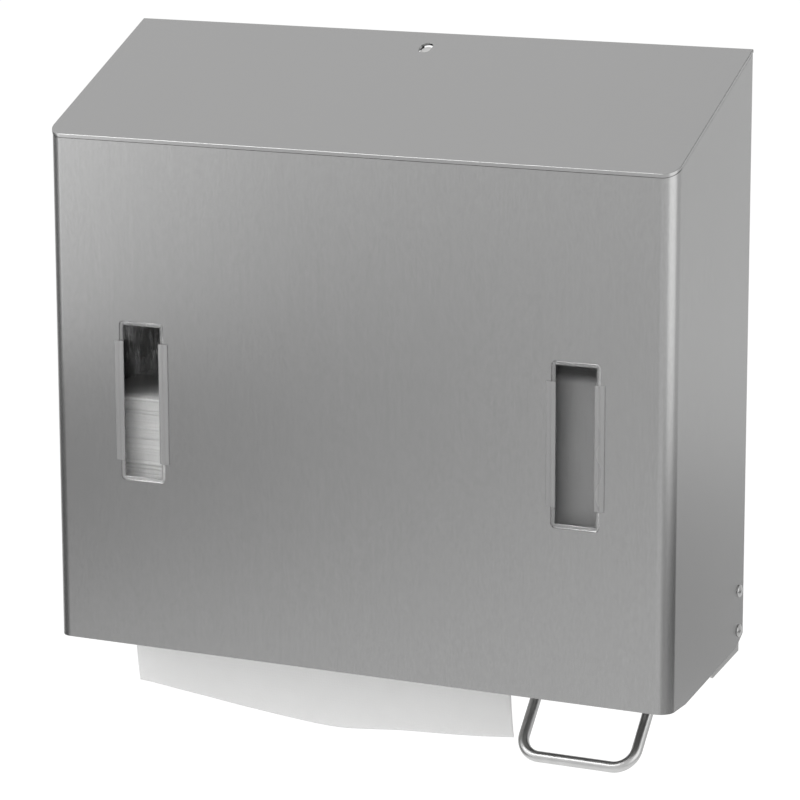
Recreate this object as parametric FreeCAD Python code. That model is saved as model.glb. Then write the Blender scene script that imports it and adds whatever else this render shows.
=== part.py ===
import FreeCAD, Part
import math
import os

V = FreeCAD.Vector

# A wall-mounted stainless steel casing that holds folded paper towels on the left and a soap tank on the right.
# Millimetres. X runs to the viewer's right, Y towards the wall, whose plane is Y = 0, and Z upwards.
# Heights here count from the bottom edge of the front panel; save() drops every piece by WALL_SCREW_HEIGHT,
# so that the origin is the middle of the four wall screws.

# Running fits and small gaps
FIT = 0.05
SEAT_GAP = 0.3

# Cover: a sheet bent round the front corners, with a sloping top plate welded on
FRONT_HEIGHT = 280.5
REAR_HEIGHT = 331.9
COVER_SHEET = 1.0
CORNER_RADIUS = 8.0
WALL_GAP = 0.8
LEVEL_EDGE = 24.0
REAR_EDGE_HEIGHT = 12.7
CORNER_CUT_DEPTH = 9.7
CORNER_CUT_HEIGHT = 17.2
TOP_SHEET = 1.5
TOP_OVERHANG = 0.4
TOP_EDGE_ROUND = 0.6
TOP_REAR_FLANGE = 9.0
SEAM_HEIGHT = 0.8
SEAM_DEPTH = 0.4
KEY_HOLE_WIDTH = 7.0
KEY_HOLE_LENGTH = 9.5
KEY_HOLE_FROM_WALL = 14.1

# Windows
WINDOW_WIDTH = 27.2
WINDOW_HEIGHT = 88.0
WINDOW_MIDDLE = 136.75
WINDOW_FROM_SIDE = 54.5
WINDOW_OFFSET = 1.4
WINDOW_CORNER = 2.5
PANE_SHEET = 1.5
PANE_MARGIN = 4.0
RAIL_LENGTH = 66.0
RAIL_INSIDE = 2.8
RAIL_LIP = 2.7
RAIL_PROUD = 0.8

# Paper towels
TOWEL_WIDTH = 232.4
TOWEL_DEPTH = 96.0
STACK_HEIGHT = 122.7
TOWEL_ROOM_LEFT = 13.4
TOWEL_ROOM_RIGHT = 6.7
TOWEL_ROOM_REAR = 0.8
TOWEL_ROOM_FRONT = 1.0
SHEET_THICKNESS = 1.0
SHEET_ROOM = 0.6
SHEET_INSIDE = 44.0
SHEET_CURL_RADIUS = 200.0
SHEET_LEFT_DROP = 40.0
SHEET_LEFT_BEND_DROP = 51.9
SHEET_LOWEST_DROP = 52.9
SHEET_RIGHT_BEND_DROP = 49.4
SHEET_RIGHT_DROP = 43.9
SHEET_LEFT_BEND = 105.0
SHEET_LOWEST = 131.0
SHEET_RIGHT_BEND = 165.0

# Towel tray
TRAY_SHEET = 1.0
TRAY_HEIGHT = 13.0
TRAY_LIP_HEIGHT = 12.0
TRAY_REAR_HEIGHT = 17.0
TRAY_SIDE_HEIGHT = 11.0
TRAY_SIDE_FROM_WALL = 14.0
TRAY_FRONT_GAP = 6.0
THROAT_DEPTH = 42.0
THROAT_SIDE_ROOM = 3.0
THROAT_HEM = 3.0

# Chassis: a back plate with side flanges and ears for the cover's hinge
CHASSIS_SHEET = 1.2
SIDE_GAP = 0.9
BACK_BOTTOM = 7.5
BACK_TOP_DROP = 13.0
BACK_BEND = 2.0
FLANGE_DEPTH = 14.0
EAR_DEPTH = 46.0
EAR_HEIGHT = 60.0
EAR_TAPER = 18.0
EAR_TOE_DEPTH = 40.0
EAR_TOE_HEIGHT = 1.9
EAR_STEP = 6.0
TOP_LIP_DEPTH = 12.0
TOP_LIP_FROM_MIDDLE = 32.0
WALL_SCREW_SPACING_X = 300.0
WALL_SCREW_SPACING_Z = 100.0
WALL_SCREW_FROM_TOP = 18.9
WALL_SCREW_HOLE_RADIUS = 3.25
PARTITION_SHEET = 1.2
PARTITION_TOP = 250.0
PARTITION_FOOT = 15.0

# Hinge of the cover: a rivet in each ear, and a second one that runs in an arc slot and stops it
HINGE_FROM_WALL = 7.0
HINGE_HEIGHT = 20.0
STOP_RADIUS = 22.0
COVER_OPENING = 50.0
RIVET_RADIUS = 2.0
RIVET_HEAD_RADIUS = 3.4
RIVET_HEAD_HEIGHT = 1.3
RIVET_TAIL_HEIGHT = 1.4
STOP_SLOT_ROOM = 0.3
WASHER_RADIUS = 6.0
WASHER_PLAY = 0.1

# Soap tank
TANK_WIDTH = 91.9
TANK_ROOM = 5.6
TANK_FRONT_GAP = 9.0
TANK_REAR_GAP = 8.8
TANK_HEIGHT = 127.5
TANK_WALL = 2.0
TANK_FLOOR = 2.5
TANK_CORNER = 10.0
TANK_SHOULDER = 5.0
NECK_RADIUS = 29.0
NECK_WALL = 2.0
NECK_HEIGHT = 6.0
LID_ROOM = 1.3
LID_WALL = 1.7
LID_SKIRT = 4.0
LID_TOP = 2.0
LID_TAB_WIDTH = 16.0
LID_TAB_LENGTH = 5.0
LID_HINGE_OUT = 6.5
LID_HINGE_HEIGHT = 5.0
LID_PIN_RADIUS = 1.5
LID_KNUCKLE_RADIUS = 3.0
LID_KNUCKLE_WIDTH = 15.0
LID_LUG_WIDTH = 3.5

# Soap bracket: a shelf under the tank with two ears for the lever's axle
SHELF_HEIGHT = 42.0
BRACKET_SHEET = 1.2
SHELF_LIP = 9.0
BRACKET_FLANGE_HEIGHT = 32.0
BRACKET_SCREW_SPACING = 56.0
BRACKET_SCREW_HEIGHT = 20.0
BRACKET_EAR_WIDTH = 18.0
BRACKET_EAR_BELOW_AXLE = 9.0
BRACKET_EAR_ROUND = 6.0

# Lever: a U of round wire in a moulded rocker that turns on an axle
WIRE_RADIUS = 3.0
LEVER_WIDTH = 64.6
LEVER_ROOT = 17.3
LEVER_KNEE_RADIUS = 6.0
LEVER_REACH = 38.3
LEVER_LEAN = 42.4
LEVER_BEND_RADIUS = 11.5
LEVER_PUSH = 18.0
AXLE_FROM_FRONT = 52.5
AXLE_HEIGHT = 5.0
AXLE_RADIUS = 2.5
AXLE_END_ROOM = 1.5
AXLE_OVERHANG = 0.75
HUB_RADIUS = 7.0
HUB_SHOULDER = 0.3
HUB_SIDE_PLAY = 0.4
SOCKET_RADIUS = 5.3
SOCKET_LENGTH = 13.0
SOCKET_START = 3.7
ROCKER_ARM = 25.5
ROCKER_ARM_HALF_THICKNESS = 2.5
ROCKER_ARM_WIDTH = 4.0
ROCKER_FORK_GAP = 14.0
CLIP_RADIUS = 5.0
CLIP_THICKNESS = 0.8
CLIP_DEPTH = 0.5

# Pump
PUMP_BODY_RADIUS = 12.0
PUMP_BORE_RADIUS = 8.0
PUMP_FLANGE_RADIUS = 17.0
PUMP_FLANGE_HEIGHT = 3.0
PUMP_BELOW_SHELF = 11.0
PUMP_NECK_RADIUS = 10.5
PUMP_NECK_HEIGHT = 6.8
PUMP_ROOF = 2.5
PUMP_CAP_HEIGHT = 4.0
PUMP_CAP_SPIGOT = 1.4
INLET_HOLE_RADIUS = 1.5
INLET_RING_RADIUS = 5.0
VALVE_RADIUS = 7.2
VALVE_THICKNESS = 1.2
VALVE_STEM_RADIUS = 1.5
VALVE_KNOB_RADIUS = 2.4
STEM_RADIUS = 4.5
STEM_BORE_RADIUS = 1.8
PISTON_PLAY = 0.2
PISTON_HEIGHT = 5.0
PISTON_LIFT_OFF = 0.6
GROOVE_WIDTH = 2.0
GROOVE_DEPTH = 1.8
SEAL_WIRE_RADIUS = 0.92
SEAL_PLAY = 0.08
COLLAR_RADIUS = 12.0
COLLAR_HEIGHT = 3.0
NOZZLE_BELOW_AXLE = 17.0
TIP_RADIUS = 3.0
TIP_DEPTH = 6.0
TIP_SLIT = 0.4
PUMP_SPRING_RADIUS = 7.5
PUMP_SPRING_WIRE = 0.6
PUMP_SPRING_TURNS = 4.5
GROMMET_WALL = 2.4
GROMMET_LIP = 2.0
GROMMET_LIP_HEIGHT = 1.2

# Latch under the key hole
BOLT_WIDTH = 12.0
BOLT_DEPTH = 10.0
BOLT_LENGTH = 32.8
LATCH_TRAVEL = 2.2
LATCH_TOP_ROOM = 0.5
LATCH_ARM_WIDTH = 8.0
LATCH_ARM_REACH = 8.2
LATCH_ARM_HEIGHT = 4.0
LATCH_ARM_DROP = 13.4
BUTTON_ROOM = 0.3
TOOTH_DEPTH = 4.0
TOOTH_HEIGHT = 4.0
CATCH_SHEET = 1.5
CATCH_WIDTH = 20.0
CATCH_FOOT = 12.5
CATCH_LIFT = 0.8
CATCH_ROOM = 1.0
CATCH_RIM = 3.7
HOUSING_WALL = 8.0
HOUSING_FRONT = 2.7
HOUSING_FLOOR = 4.0
HOUSING_ROOM = 0.2
BOLT_SPRING_ROOM = 13.0
BOLT_SPRING_RADIUS = 3.6
BOLT_SPRING_WIRE = 0.45
BOLT_SPRING_TURNS = 6.5
LUG_REACH = 12.0
LUG_HEIGHT = 16.0
LUG_SHEET = 4.0

# Pan head screws
SCREW_RADIUS = 1.75
SCREW_HEAD_RADIUS = 3.5
SCREW_HEAD_HEIGHT = 2.2
SCREW_SHORT_OF_WALL = 0.2
PUMP_SCREW_RADIUS = 1.25
PUMP_SCREW_HEAD_RADIUS = 2.2
PUMP_SCREW_HEAD_HEIGHT = 1.6
PUMP_SCREW_INSET = 2.5
RECESS_WIDTH = 0.8

# Sizes and places that follow from those above
SOAP_BAY_WIDTH = TANK_WIDTH + 2 * TANK_ROOM
TOWEL_BAY_WIDTH = TOWEL_ROOM_LEFT + TOWEL_WIDTH + TOWEL_ROOM_RIGHT
INSIDE_WIDTH = TOWEL_BAY_WIDTH + PARTITION_SHEET + SOAP_BAY_WIDTH
FLANGE_INNER = INSIDE_WIDTH / 2
FLANGE_OUTER = FLANGE_INNER + CHASSIS_SHEET
COVER_INNER = FLANGE_OUTER + SIDE_GAP
CASE_HALF_WIDTH = COVER_INNER + COVER_SHEET

TRAY_REAR = -CHASSIS_SHEET - TRAY_SHEET
STACK_REAR = TRAY_REAR - TOWEL_ROOM_REAR
STACK_FRONT = STACK_REAR - TOWEL_DEPTH
TRAY_FRONT = STACK_FRONT - TOWEL_ROOM_FRONT - TRAY_SHEET
COVER_FRONT_INNER = TRAY_FRONT - TRAY_FRONT_GAP
FRONT = COVER_FRONT_INNER - COVER_SHEET

PARTITION_LEFT = -FLANGE_INNER + TOWEL_BAY_WIDTH
PARTITION_RIGHT = PARTITION_LEFT + PARTITION_SHEET
STACK_LEFT = -FLANGE_INNER + TOWEL_ROOM_LEFT
STACK_RIGHT = STACK_LEFT + TOWEL_WIDTH
STACK_BOTTOM = TRAY_HEIGHT + TRAY_SHEET + SEAT_GAP
SHEET_Y = (STACK_REAR + STACK_FRONT) / 2

BACK_TOP = REAR_HEIGHT - BACK_TOP_DROP
WALL_SCREW_HEIGHT = BACK_TOP - WALL_SCREW_FROM_TOP - WALL_SCREW_SPACING_Z / 2
HINGE_Y = -HINGE_FROM_WALL
ROOF_RISE = REAR_HEIGHT - FRONT_HEIGHT
ROOF_SLOPE = math.atan2(ROOF_RISE, -FRONT)
ROOF_DROP = TOP_SHEET / math.cos(ROOF_SLOPE)

HUB_HALF_LENGTH = LEVER_WIDTH / 2 + SOCKET_RADIUS + HUB_SHOULDER
EAR_INNER = HUB_HALF_LENGTH + HUB_SIDE_PLAY
EAR_OUTER = EAR_INNER + BRACKET_SHEET
CLIP_INNER = EAR_OUTER + SEAT_GAP
AXLE_HALF_LENGTH = CLIP_INNER + CLIP_THICKNESS + AXLE_OVERHANG
LEVER_X = PARTITION_RIGHT + AXLE_END_ROOM + AXLE_HALF_LENGTH
AXLE_Y = FRONT + AXLE_FROM_FRONT
PUMP_Y = AXLE_Y + ROCKER_ARM

TANK_X = (PARTITION_RIGHT + FLANGE_INNER) / 2
TANK_FRONT = COVER_FRONT_INNER + TANK_FRONT_GAP
TANK_REAR = -CHASSIS_SHEET - TANK_REAR_GAP
SHELF_TOP = SHELF_HEIGHT + BRACKET_SHEET
TANK_BOTTOM = SHELF_TOP + SEAT_GAP
TANK_TOP = TANK_BOTTOM + TANK_HEIGHT
NECK_TOP = TANK_TOP + NECK_HEIGHT
NECK_Y = (TANK_FRONT + TANK_REAR) / 2
LID_OUTER = NECK_RADIUS + LID_ROOM + LID_WALL
LID_HINGE_Y = NECK_Y + NECK_RADIUS + LID_HINGE_OUT
LID_HINGE_Z = TANK_TOP + LID_HINGE_HEIGHT

PUMP_BOTTOM = SHELF_HEIGHT - PUMP_BELOW_SHELF
PUMP_TOP = SHELF_TOP + PUMP_NECK_HEIGHT
BORE_TOP = PUMP_TOP - PUMP_ROOF
CAP_BOTTOM = PUMP_BOTTOM - PUMP_CAP_HEIGHT
COLLAR_BOTTOM = AXLE_HEIGHT + ROCKER_ARM_HALF_THICKNESS + SEAT_GAP
COLLAR_TOP = COLLAR_BOTTOM + COLLAR_HEIGHT
PISTON_BOTTOM = PUMP_BOTTOM + PUMP_CAP_SPIGOT + PISTON_LIFT_OFF
PISTON_TOP = PISTON_BOTTOM + PISTON_HEIGHT
NOZZLE_BOTTOM = AXLE_HEIGHT - NOZZLE_BELOW_AXLE
TANK_HOLE_RADIUS = PUMP_NECK_RADIUS + GROMMET_WALL + FIT

KEY_Y = -KEY_HOLE_FROM_WALL
BOLT_FRONT = KEY_Y - BOLT_DEPTH / 2
BOLT_REAR = KEY_Y + BOLT_DEPTH / 2


def box(x0, x1, y0, y1, z0, z1):
    """A block between two X, two Y and two Z limits."""
    return Part.makeBox(x1 - x0, y1 - y0, z1 - z0, V(x0, y0, z0))


def rod(start, end, radius):
    """A round bar from one point to another."""
    way = end - start
    return Part.makeCylinder(radius, way.Length, start, way)


def upright(x, y, z0, z1, radius):
    """A round bar along Z."""
    return rod(V(x, y, z0), V(x, y, z1), radius)


def crossbar(y, z, x0, x1, radius):
    """A round bar along X."""
    return rod(V(x0, y, z), V(x1, y, z), radius)


def side_sheet(points, x0, x1):
    """A sheet with its outline in Y and Z, between two X limits."""
    corners = [V(x0, y, z) for y, z in points]
    outline = Part.makePolygon(corners + corners[:1])
    return Part.Face(outline).extrude(V(x1 - x0, 0, 0))


def edges_along(shape, way):
    """The straight edges of a solid that run along one direction."""
    straight = [e for e in shape.Edges if isinstance(e.Curve, Part.Line)]
    return [e for e in straight if abs(e.tangentAt(e.FirstParameter).dot(way)) > 0.999]


def rounded(shape, radius, way):
    """A block with its edges along one direction rounded."""
    return shape.makeFillet(radius, edges_along(shape, way))


def both_sides(shape):
    """A piece and its mirror image on the other side of the casing."""
    return [shape, shape.mirror(V(0, 0, 0), V(1, 0, 0))]


def joined(shapes):
    """Several shapes as one solid, with no seams left in flat faces."""
    whole = shapes[0].fuse(shapes[1:])
    return whole.removeSplitter()


def placed(shape, point, way):
    """A piece drawn at the origin with its shank along -Z, moved to a point and turned along a way."""
    turned = shape.copy()
    turned.Placement = FreeCAD.Placement(point, FreeCAD.Rotation(V(0, 0, -1), way))
    return turned


def roof_under(y):
    """The height of the underside of the top plate at a distance from the wall."""
    return REAR_HEIGHT + y * math.tan(ROOF_SLOPE) - ROOF_DROP


def roof_slab(drop_top, drop_bottom):
    """All space between two planes parallel to the top plate, at given drops below its upper face."""
    rear, front = 20.0, FRONT - 20.0
    rise = math.tan(ROOF_SLOPE)
    high, low = REAR_HEIGHT + rear * rise, REAR_HEIGHT + front * rise
    points = [
        (rear, high - drop_top),
        (front, low - drop_top),
        (front, low - drop_bottom),
        (rear, high - drop_bottom),
    ]
    return side_sheet(points, -CASE_HALF_WIDTH - 10, CASE_HALF_WIDTH + 10)


def casing_plan(inset, rear, z0, z1):
    """The casing's plan, drawn in by an inset, with its two front corners rounded."""
    half = CASE_HALF_WIDTH - inset
    block = box(-half, half, FRONT + inset, rear, z0, z1)
    upright_edges = edges_along(block, V(0, 0, 1))
    front_edges = [e for e in upright_edges if e.CenterOfMass.y < FRONT + inset + 0.01]
    return block.makeFillet(CORNER_RADIUS - inset, front_edges)


def window_opening(x, width, height, y0, y1, corner):
    """A block with rounded corners, the size of a window, between two Y limits."""
    z0, z1 = WINDOW_MIDDLE - height / 2, WINDOW_MIDDLE + height / 2
    return rounded(box(x - width / 2, x + width / 2, y0, y1, z0, z1), corner, V(0, 1, 0))


def window_places():
    """The middles of the left and the right window. The pair sits a little right of the cover's middle."""
    reach = CASE_HALF_WIDTH - WINDOW_FROM_SIDE
    return WINDOW_OFFSET - reach, WINDOW_OFFSET + reach


def hinge_points():
    """Where the hinge rivet and the stop rivet stand, in Y and Z."""
    return [(HINGE_Y, HINGE_HEIGHT), (HINGE_Y, HINGE_HEIGHT + STOP_RADIUS)]


def cover_shell():
    """The front panel and both sides, one bent sheet, open behind, above and below."""
    shell = casing_plan(0, -WALL_GAP, 0, REAR_HEIGHT)
    shell = shell.cut(casing_plan(COVER_SHEET, 10, -1, REAR_HEIGHT + 1))
    shell = shell.cut(roof_slab(-2 * ROOF_RISE - CORNER_RADIUS, ROOF_DROP))
    seam = roof_slab(ROOF_DROP, ROOF_DROP + SEAM_HEIGHT)
    shell = shell.cut(seam.cut(casing_plan(SEAM_DEPTH, 10, -1, REAR_HEIGHT + 1)))
    level_end = FRONT + LEVEL_EDGE
    cut_y = -WALL_GAP - CORNER_CUT_DEPTH
    cut_z = REAR_EDGE_HEIGHT * (cut_y - level_end) / -level_end
    below = [(level_end, 0), (cut_y, cut_z), (-WALL_GAP, CORNER_CUT_HEIGHT), (10, CORNER_CUT_HEIGHT), (10, -10)]
    below = below + [(level_end, -10)]
    shell = shell.cut(side_sheet(below, -CASE_HALF_WIDTH - 1, CASE_HALF_WIDTH + 1))
    for x in window_places():
        hole = window_opening(x, WINDOW_WIDTH, WINDOW_HEIGHT, FRONT - 1, FRONT + COVER_SHEET + 1, WINDOW_CORNER)
        shell = shell.cut(hole)
    for y, z in hinge_points():
        shell = shell.cut(crossbar(y, z, -CASE_HALF_WIDTH - 1, CASE_HALF_WIDTH + 1, RIVET_RADIUS + FIT))
    return shell


def top_plate():
    """The sloping top, a thicker sheet that overhangs the shell a little, turned down along the wall except
    behind the key hole."""
    plate = casing_plan(-TOP_OVERHANG, -WALL_GAP, FRONT_HEIGHT / 2, REAR_HEIGHT + ROOF_RISE)
    plate = plate.common(roof_slab(0, ROOF_DROP))
    flange_top = roof_under(-WALL_GAP) + ROOF_DROP / 2
    flange = box(
        KEY_HOLE_WIDTH, COVER_INNER, -WALL_GAP - COVER_SHEET, -WALL_GAP,
        flange_top - TOP_REAR_FLANGE, flange_top,
    )
    upper_edges = [e for e in plate.Edges if is_upper_rim(e)]
    plate = plate.makeFillet(TOP_EDGE_ROUND, upper_edges)
    plate = joined([plate] + both_sides(flange))
    hole = box(-KEY_HOLE_WIDTH / 2, KEY_HOLE_WIDTH / 2, -KEY_HOLE_LENGTH / 2, KEY_HOLE_LENGTH / 2, -5, 5)
    hole = rounded(hole, KEY_HOLE_WIDTH / 2 - FIT, V(0, 0, 1))
    normal = V(0, math.sin(ROOF_SLOPE), -math.cos(ROOF_SLOPE))
    return plate.cut(placed(hole, V(0, KEY_Y, roof_under(KEY_Y) + ROOF_DROP / 2), normal))


def is_upper_rim(edge):
    """True for the edges round the upper face of the top plate, apart from the one at the wall."""
    middle = edge.CenterOfMass
    on_top = [abs(REAR_HEIGHT + v.Point.y * math.tan(ROOF_SLOPE) - v.Point.z) < 0.01 for v in edge.Vertexes]
    return all(on_top) and middle.y < -WALL_GAP - 0.01


def window(x):
    """A clear pane behind the panel, with two rails that come through the hole and lap over the steel."""
    pane_y = COVER_FRONT_INNER + FIT
    pane = window_opening(
        x, WINDOW_WIDTH + 2 * PANE_MARGIN, WINDOW_HEIGHT + 2 * PANE_MARGIN,
        pane_y, pane_y + PANE_SHEET, WINDOW_CORNER,
    )
    rail_z0, rail_z1 = WINDOW_MIDDLE - RAIL_LENGTH / 2, WINDOW_MIDDLE + RAIL_LENGTH / 2
    hole_edge = WINDOW_WIDTH / 2
    shapes = [pane]
    for side in (-1, 1):
        inner, wall, outer = (
            x + side * (hole_edge - RAIL_INSIDE),
            x + side * (hole_edge - FIT),
            x + side * (hole_edge + RAIL_LIP),
        )
        web = box(min(inner, wall), max(inner, wall), FRONT - RAIL_PROUD, pane_y + PANE_SHEET, rail_z0, rail_z1)
        lip = box(min(inner, outer), max(inner, outer), FRONT - RAIL_PROUD, FRONT - FIT, rail_z0, rail_z1)
        shapes = shapes + [web, lip]
    return joined(shapes)


def back_plate():
    """The plate on the wall, bent forwards into a flange on each side, with an ear low down for the hinge."""
    outline = [
        (0, BACK_BOTTOM),
        (-EAR_TOE_DEPTH, EAR_TOE_HEIGHT),
        (-EAR_DEPTH, EAR_TOE_HEIGHT + EAR_STEP),
        (-EAR_DEPTH, EAR_HEIGHT),
        (-FLANGE_DEPTH, EAR_HEIGHT + EAR_TAPER),
        (-FLANGE_DEPTH, BACK_TOP),
        (0, BACK_TOP),
    ]
    block = box(-FLANGE_OUTER, FLANGE_OUTER, -EAR_DEPTH - 1, 0, 0, BACK_TOP + 1)
    rear_corners = [e for e in edges_along(block, V(0, 0, 1)) if e.CenterOfMass.y > -0.01]
    block = block.makeFillet(BACK_BEND, rear_corners)
    inside = box(-FLANGE_INNER, FLANGE_INNER, -EAR_DEPTH - 2, -CHASSIS_SHEET, -1, BACK_TOP + 2)
    channel = block.cut(inside).common(side_sheet(outline, -FLANGE_OUTER - 1, FLANGE_OUTER + 1))
    lip = box(
        TOP_LIP_FROM_MIDDLE, FLANGE_INNER + 0.1, -TOP_LIP_DEPTH, -CHASSIS_SHEET + 0.1,
        BACK_TOP - CHASSIS_SHEET, BACK_TOP,
    )
    whole = joined([channel] + both_sides(lip))
    for side in (-1, 1):
        x0, x1 = sorted((side * (FLANGE_INNER - 1), side * (FLANGE_OUTER + 1)))
        whole = whole.cut(crossbar(HINGE_Y, HINGE_HEIGHT, x0, x1, RIVET_RADIUS + FIT))
        whole = whole.cut(stop_slot(x0, x1))
        for row in (-1, 1):
            x = side * WALL_SCREW_SPACING_X / 2
            z = WALL_SCREW_HEIGHT + row * WALL_SCREW_SPACING_Z / 2
            whole = whole.cut(rod(V(x, -5, z), V(x, 5, z), WALL_SCREW_HOLE_RADIUS))
    for x, z in bracket_screw_points() + latch_screw_points():
        whole = whole.cut(rod(V(x, -5, z), V(x, 5, z), SCREW_RADIUS + FIT))
    return whole


def stop_slot(x0, x1):
    """The arc slot that the stop rivet runs in as the cover opens."""
    half = RIVET_RADIUS + STOP_SLOT_ROOM
    low, high = HINGE_HEIGHT + STOP_RADIUS - half, HINGE_HEIGHT + STOP_RADIUS + half
    corners = [V(x0, HINGE_Y, low), V(x1, HINGE_Y, low), V(x1, HINGE_Y, high), V(x0, HINGE_Y, high)]
    section = Part.Face(Part.makePolygon(corners + corners[:1]))
    slot = section.revolve(V(0, HINGE_Y, HINGE_HEIGHT), V(1, 0, 0), COVER_OPENING)
    angle = math.radians(90 + COVER_OPENING)
    end_y = HINGE_Y + STOP_RADIUS * math.cos(angle)
    end_z = HINGE_HEIGHT + STOP_RADIUS * math.sin(angle)
    start = crossbar(HINGE_Y, HINGE_HEIGHT + STOP_RADIUS, x0, x1, half)
    return slot.fuse([start, crossbar(end_y, end_z, x0, x1, half)])


def rivet(y, z):
    """A rivet through the cover's right side: a domed head outside and a flat tail inside the ear."""
    head = crossbar(y, z, CASE_HALF_WIDTH, CASE_HALF_WIDTH + RIVET_HEAD_HEIGHT, RIVET_HEAD_RADIUS)
    rim = [e for e in head.Edges if e.CenterOfMass.x > CASE_HALF_WIDTH + RIVET_HEAD_HEIGHT - 0.01]
    head = head.makeFillet(RIVET_HEAD_HEIGHT * 0.7, rim)
    tail_face = FLANGE_INNER - STOP_SLOT_ROOM
    shank = crossbar(y, z, tail_face - RIVET_TAIL_HEIGHT, CASE_HALF_WIDTH + 0.1, RIVET_RADIUS)
    tail = crossbar(y, z, tail_face - RIVET_TAIL_HEIGHT, tail_face, RIVET_HEAD_RADIUS)
    return joined([head, shank, tail])


def hinge_rivets():
    """The two rivets that the cover turns on."""
    y, z = hinge_points()[0]
    return Part.makeCompound(both_sides(rivet(y, z)))


def stop_rivets():
    """The two rivets that run in the arc slots."""
    y, z = hinge_points()[1]
    return Part.makeCompound(both_sides(rivet(y, z)))


def hinge_washers():
    """Nylon washers that keep the cover's sides off the ears, one round each rivet."""
    rings = []
    x0, x1 = FLANGE_OUTER + WASHER_PLAY, COVER_INNER - WASHER_PLAY
    for y, z in hinge_points():
        ring = crossbar(y, z, x0, x1, WASHER_RADIUS).cut(crossbar(y, z, x0 - 1, x1 + 1, RIVET_RADIUS + FIT))
        rings = rings + both_sides(ring)
    return Part.makeCompound(rings)


def partition_plate():
    """The upright sheet between towels and soap, with a foot welded to the back plate."""
    wall = box(PARTITION_LEFT, PARTITION_RIGHT, TRAY_FRONT, -CHASSIS_SHEET, TRAY_HEIGHT, PARTITION_TOP)
    foot = box(
        PARTITION_LEFT - PARTITION_FOOT, PARTITION_LEFT, -CHASSIS_SHEET - PARTITION_SHEET, -CHASSIS_SHEET,
        TRAY_HEIGHT + TRAY_REAR_HEIGHT, PARTITION_TOP,
    )
    return joined([wall, foot])


def towel_tray():
    """The sheet that the towels lie on, with a throat in its floor and its edges turned up."""
    left, right = -FLANGE_INNER, PARTITION_LEFT
    top = TRAY_HEIGHT + TRAY_SHEET
    floor = box(left, right, TRAY_FRONT, -CHASSIS_SHEET, TRAY_HEIGHT, top)
    lip = box(left, right, TRAY_FRONT, TRAY_FRONT + TRAY_SHEET, TRAY_HEIGHT, TRAY_HEIGHT + TRAY_LIP_HEIGHT)
    rear = box(left, right, TRAY_REAR, -CHASSIS_SHEET, TRAY_HEIGHT, TRAY_HEIGHT + TRAY_REAR_HEIGHT)
    side_rear = -TRAY_SIDE_FROM_WALL
    side_top = TRAY_HEIGHT + TRAY_SIDE_HEIGHT
    left_edge = box(left, left + TRAY_SHEET, TRAY_FRONT, side_rear, TRAY_HEIGHT, side_top)
    right_edge = box(right - TRAY_SHEET, right, TRAY_FRONT, side_rear, TRAY_HEIGHT, side_top)
    throat_x0, throat_x1 = STACK_LEFT - THROAT_SIDE_ROOM, STACK_RIGHT + THROAT_SIDE_ROOM
    throat_y0, throat_y1 = SHEET_Y - THROAT_DEPTH / 2, SHEET_Y + THROAT_DEPTH / 2
    hem_z = TRAY_HEIGHT - THROAT_HEM
    hem_front = box(throat_x0, throat_x1, throat_y0 - TRAY_SHEET, throat_y0, hem_z, top)
    hem_rear = box(throat_x0, throat_x1, throat_y1, throat_y1 + TRAY_SHEET, hem_z, top)
    tray = joined([floor, lip, rear, left_edge, right_edge, hem_front, hem_rear])
    return tray.cut(box(throat_x0, throat_x1, throat_y0, throat_y1, hem_z - 1, top + 1))


def towel_stack():
    """The folded paper towels, a block with the seam between their flaps open at the bottom."""
    block = box(STACK_LEFT, STACK_RIGHT, STACK_FRONT, STACK_REAR, STACK_BOTTOM, STACK_BOTTOM + STACK_HEIGHT)
    half = SHEET_THICKNESS / 2 + SHEET_ROOM
    seam_top = STACK_BOTTOM + SHEET_INSIDE + SHEET_ROOM
    seam = box(STACK_LEFT - 1, STACK_RIGHT + 1, SHEET_Y - half, SHEET_Y + half, STACK_BOTTOM - 1, seam_top)
    return block.cut(seam)


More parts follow.
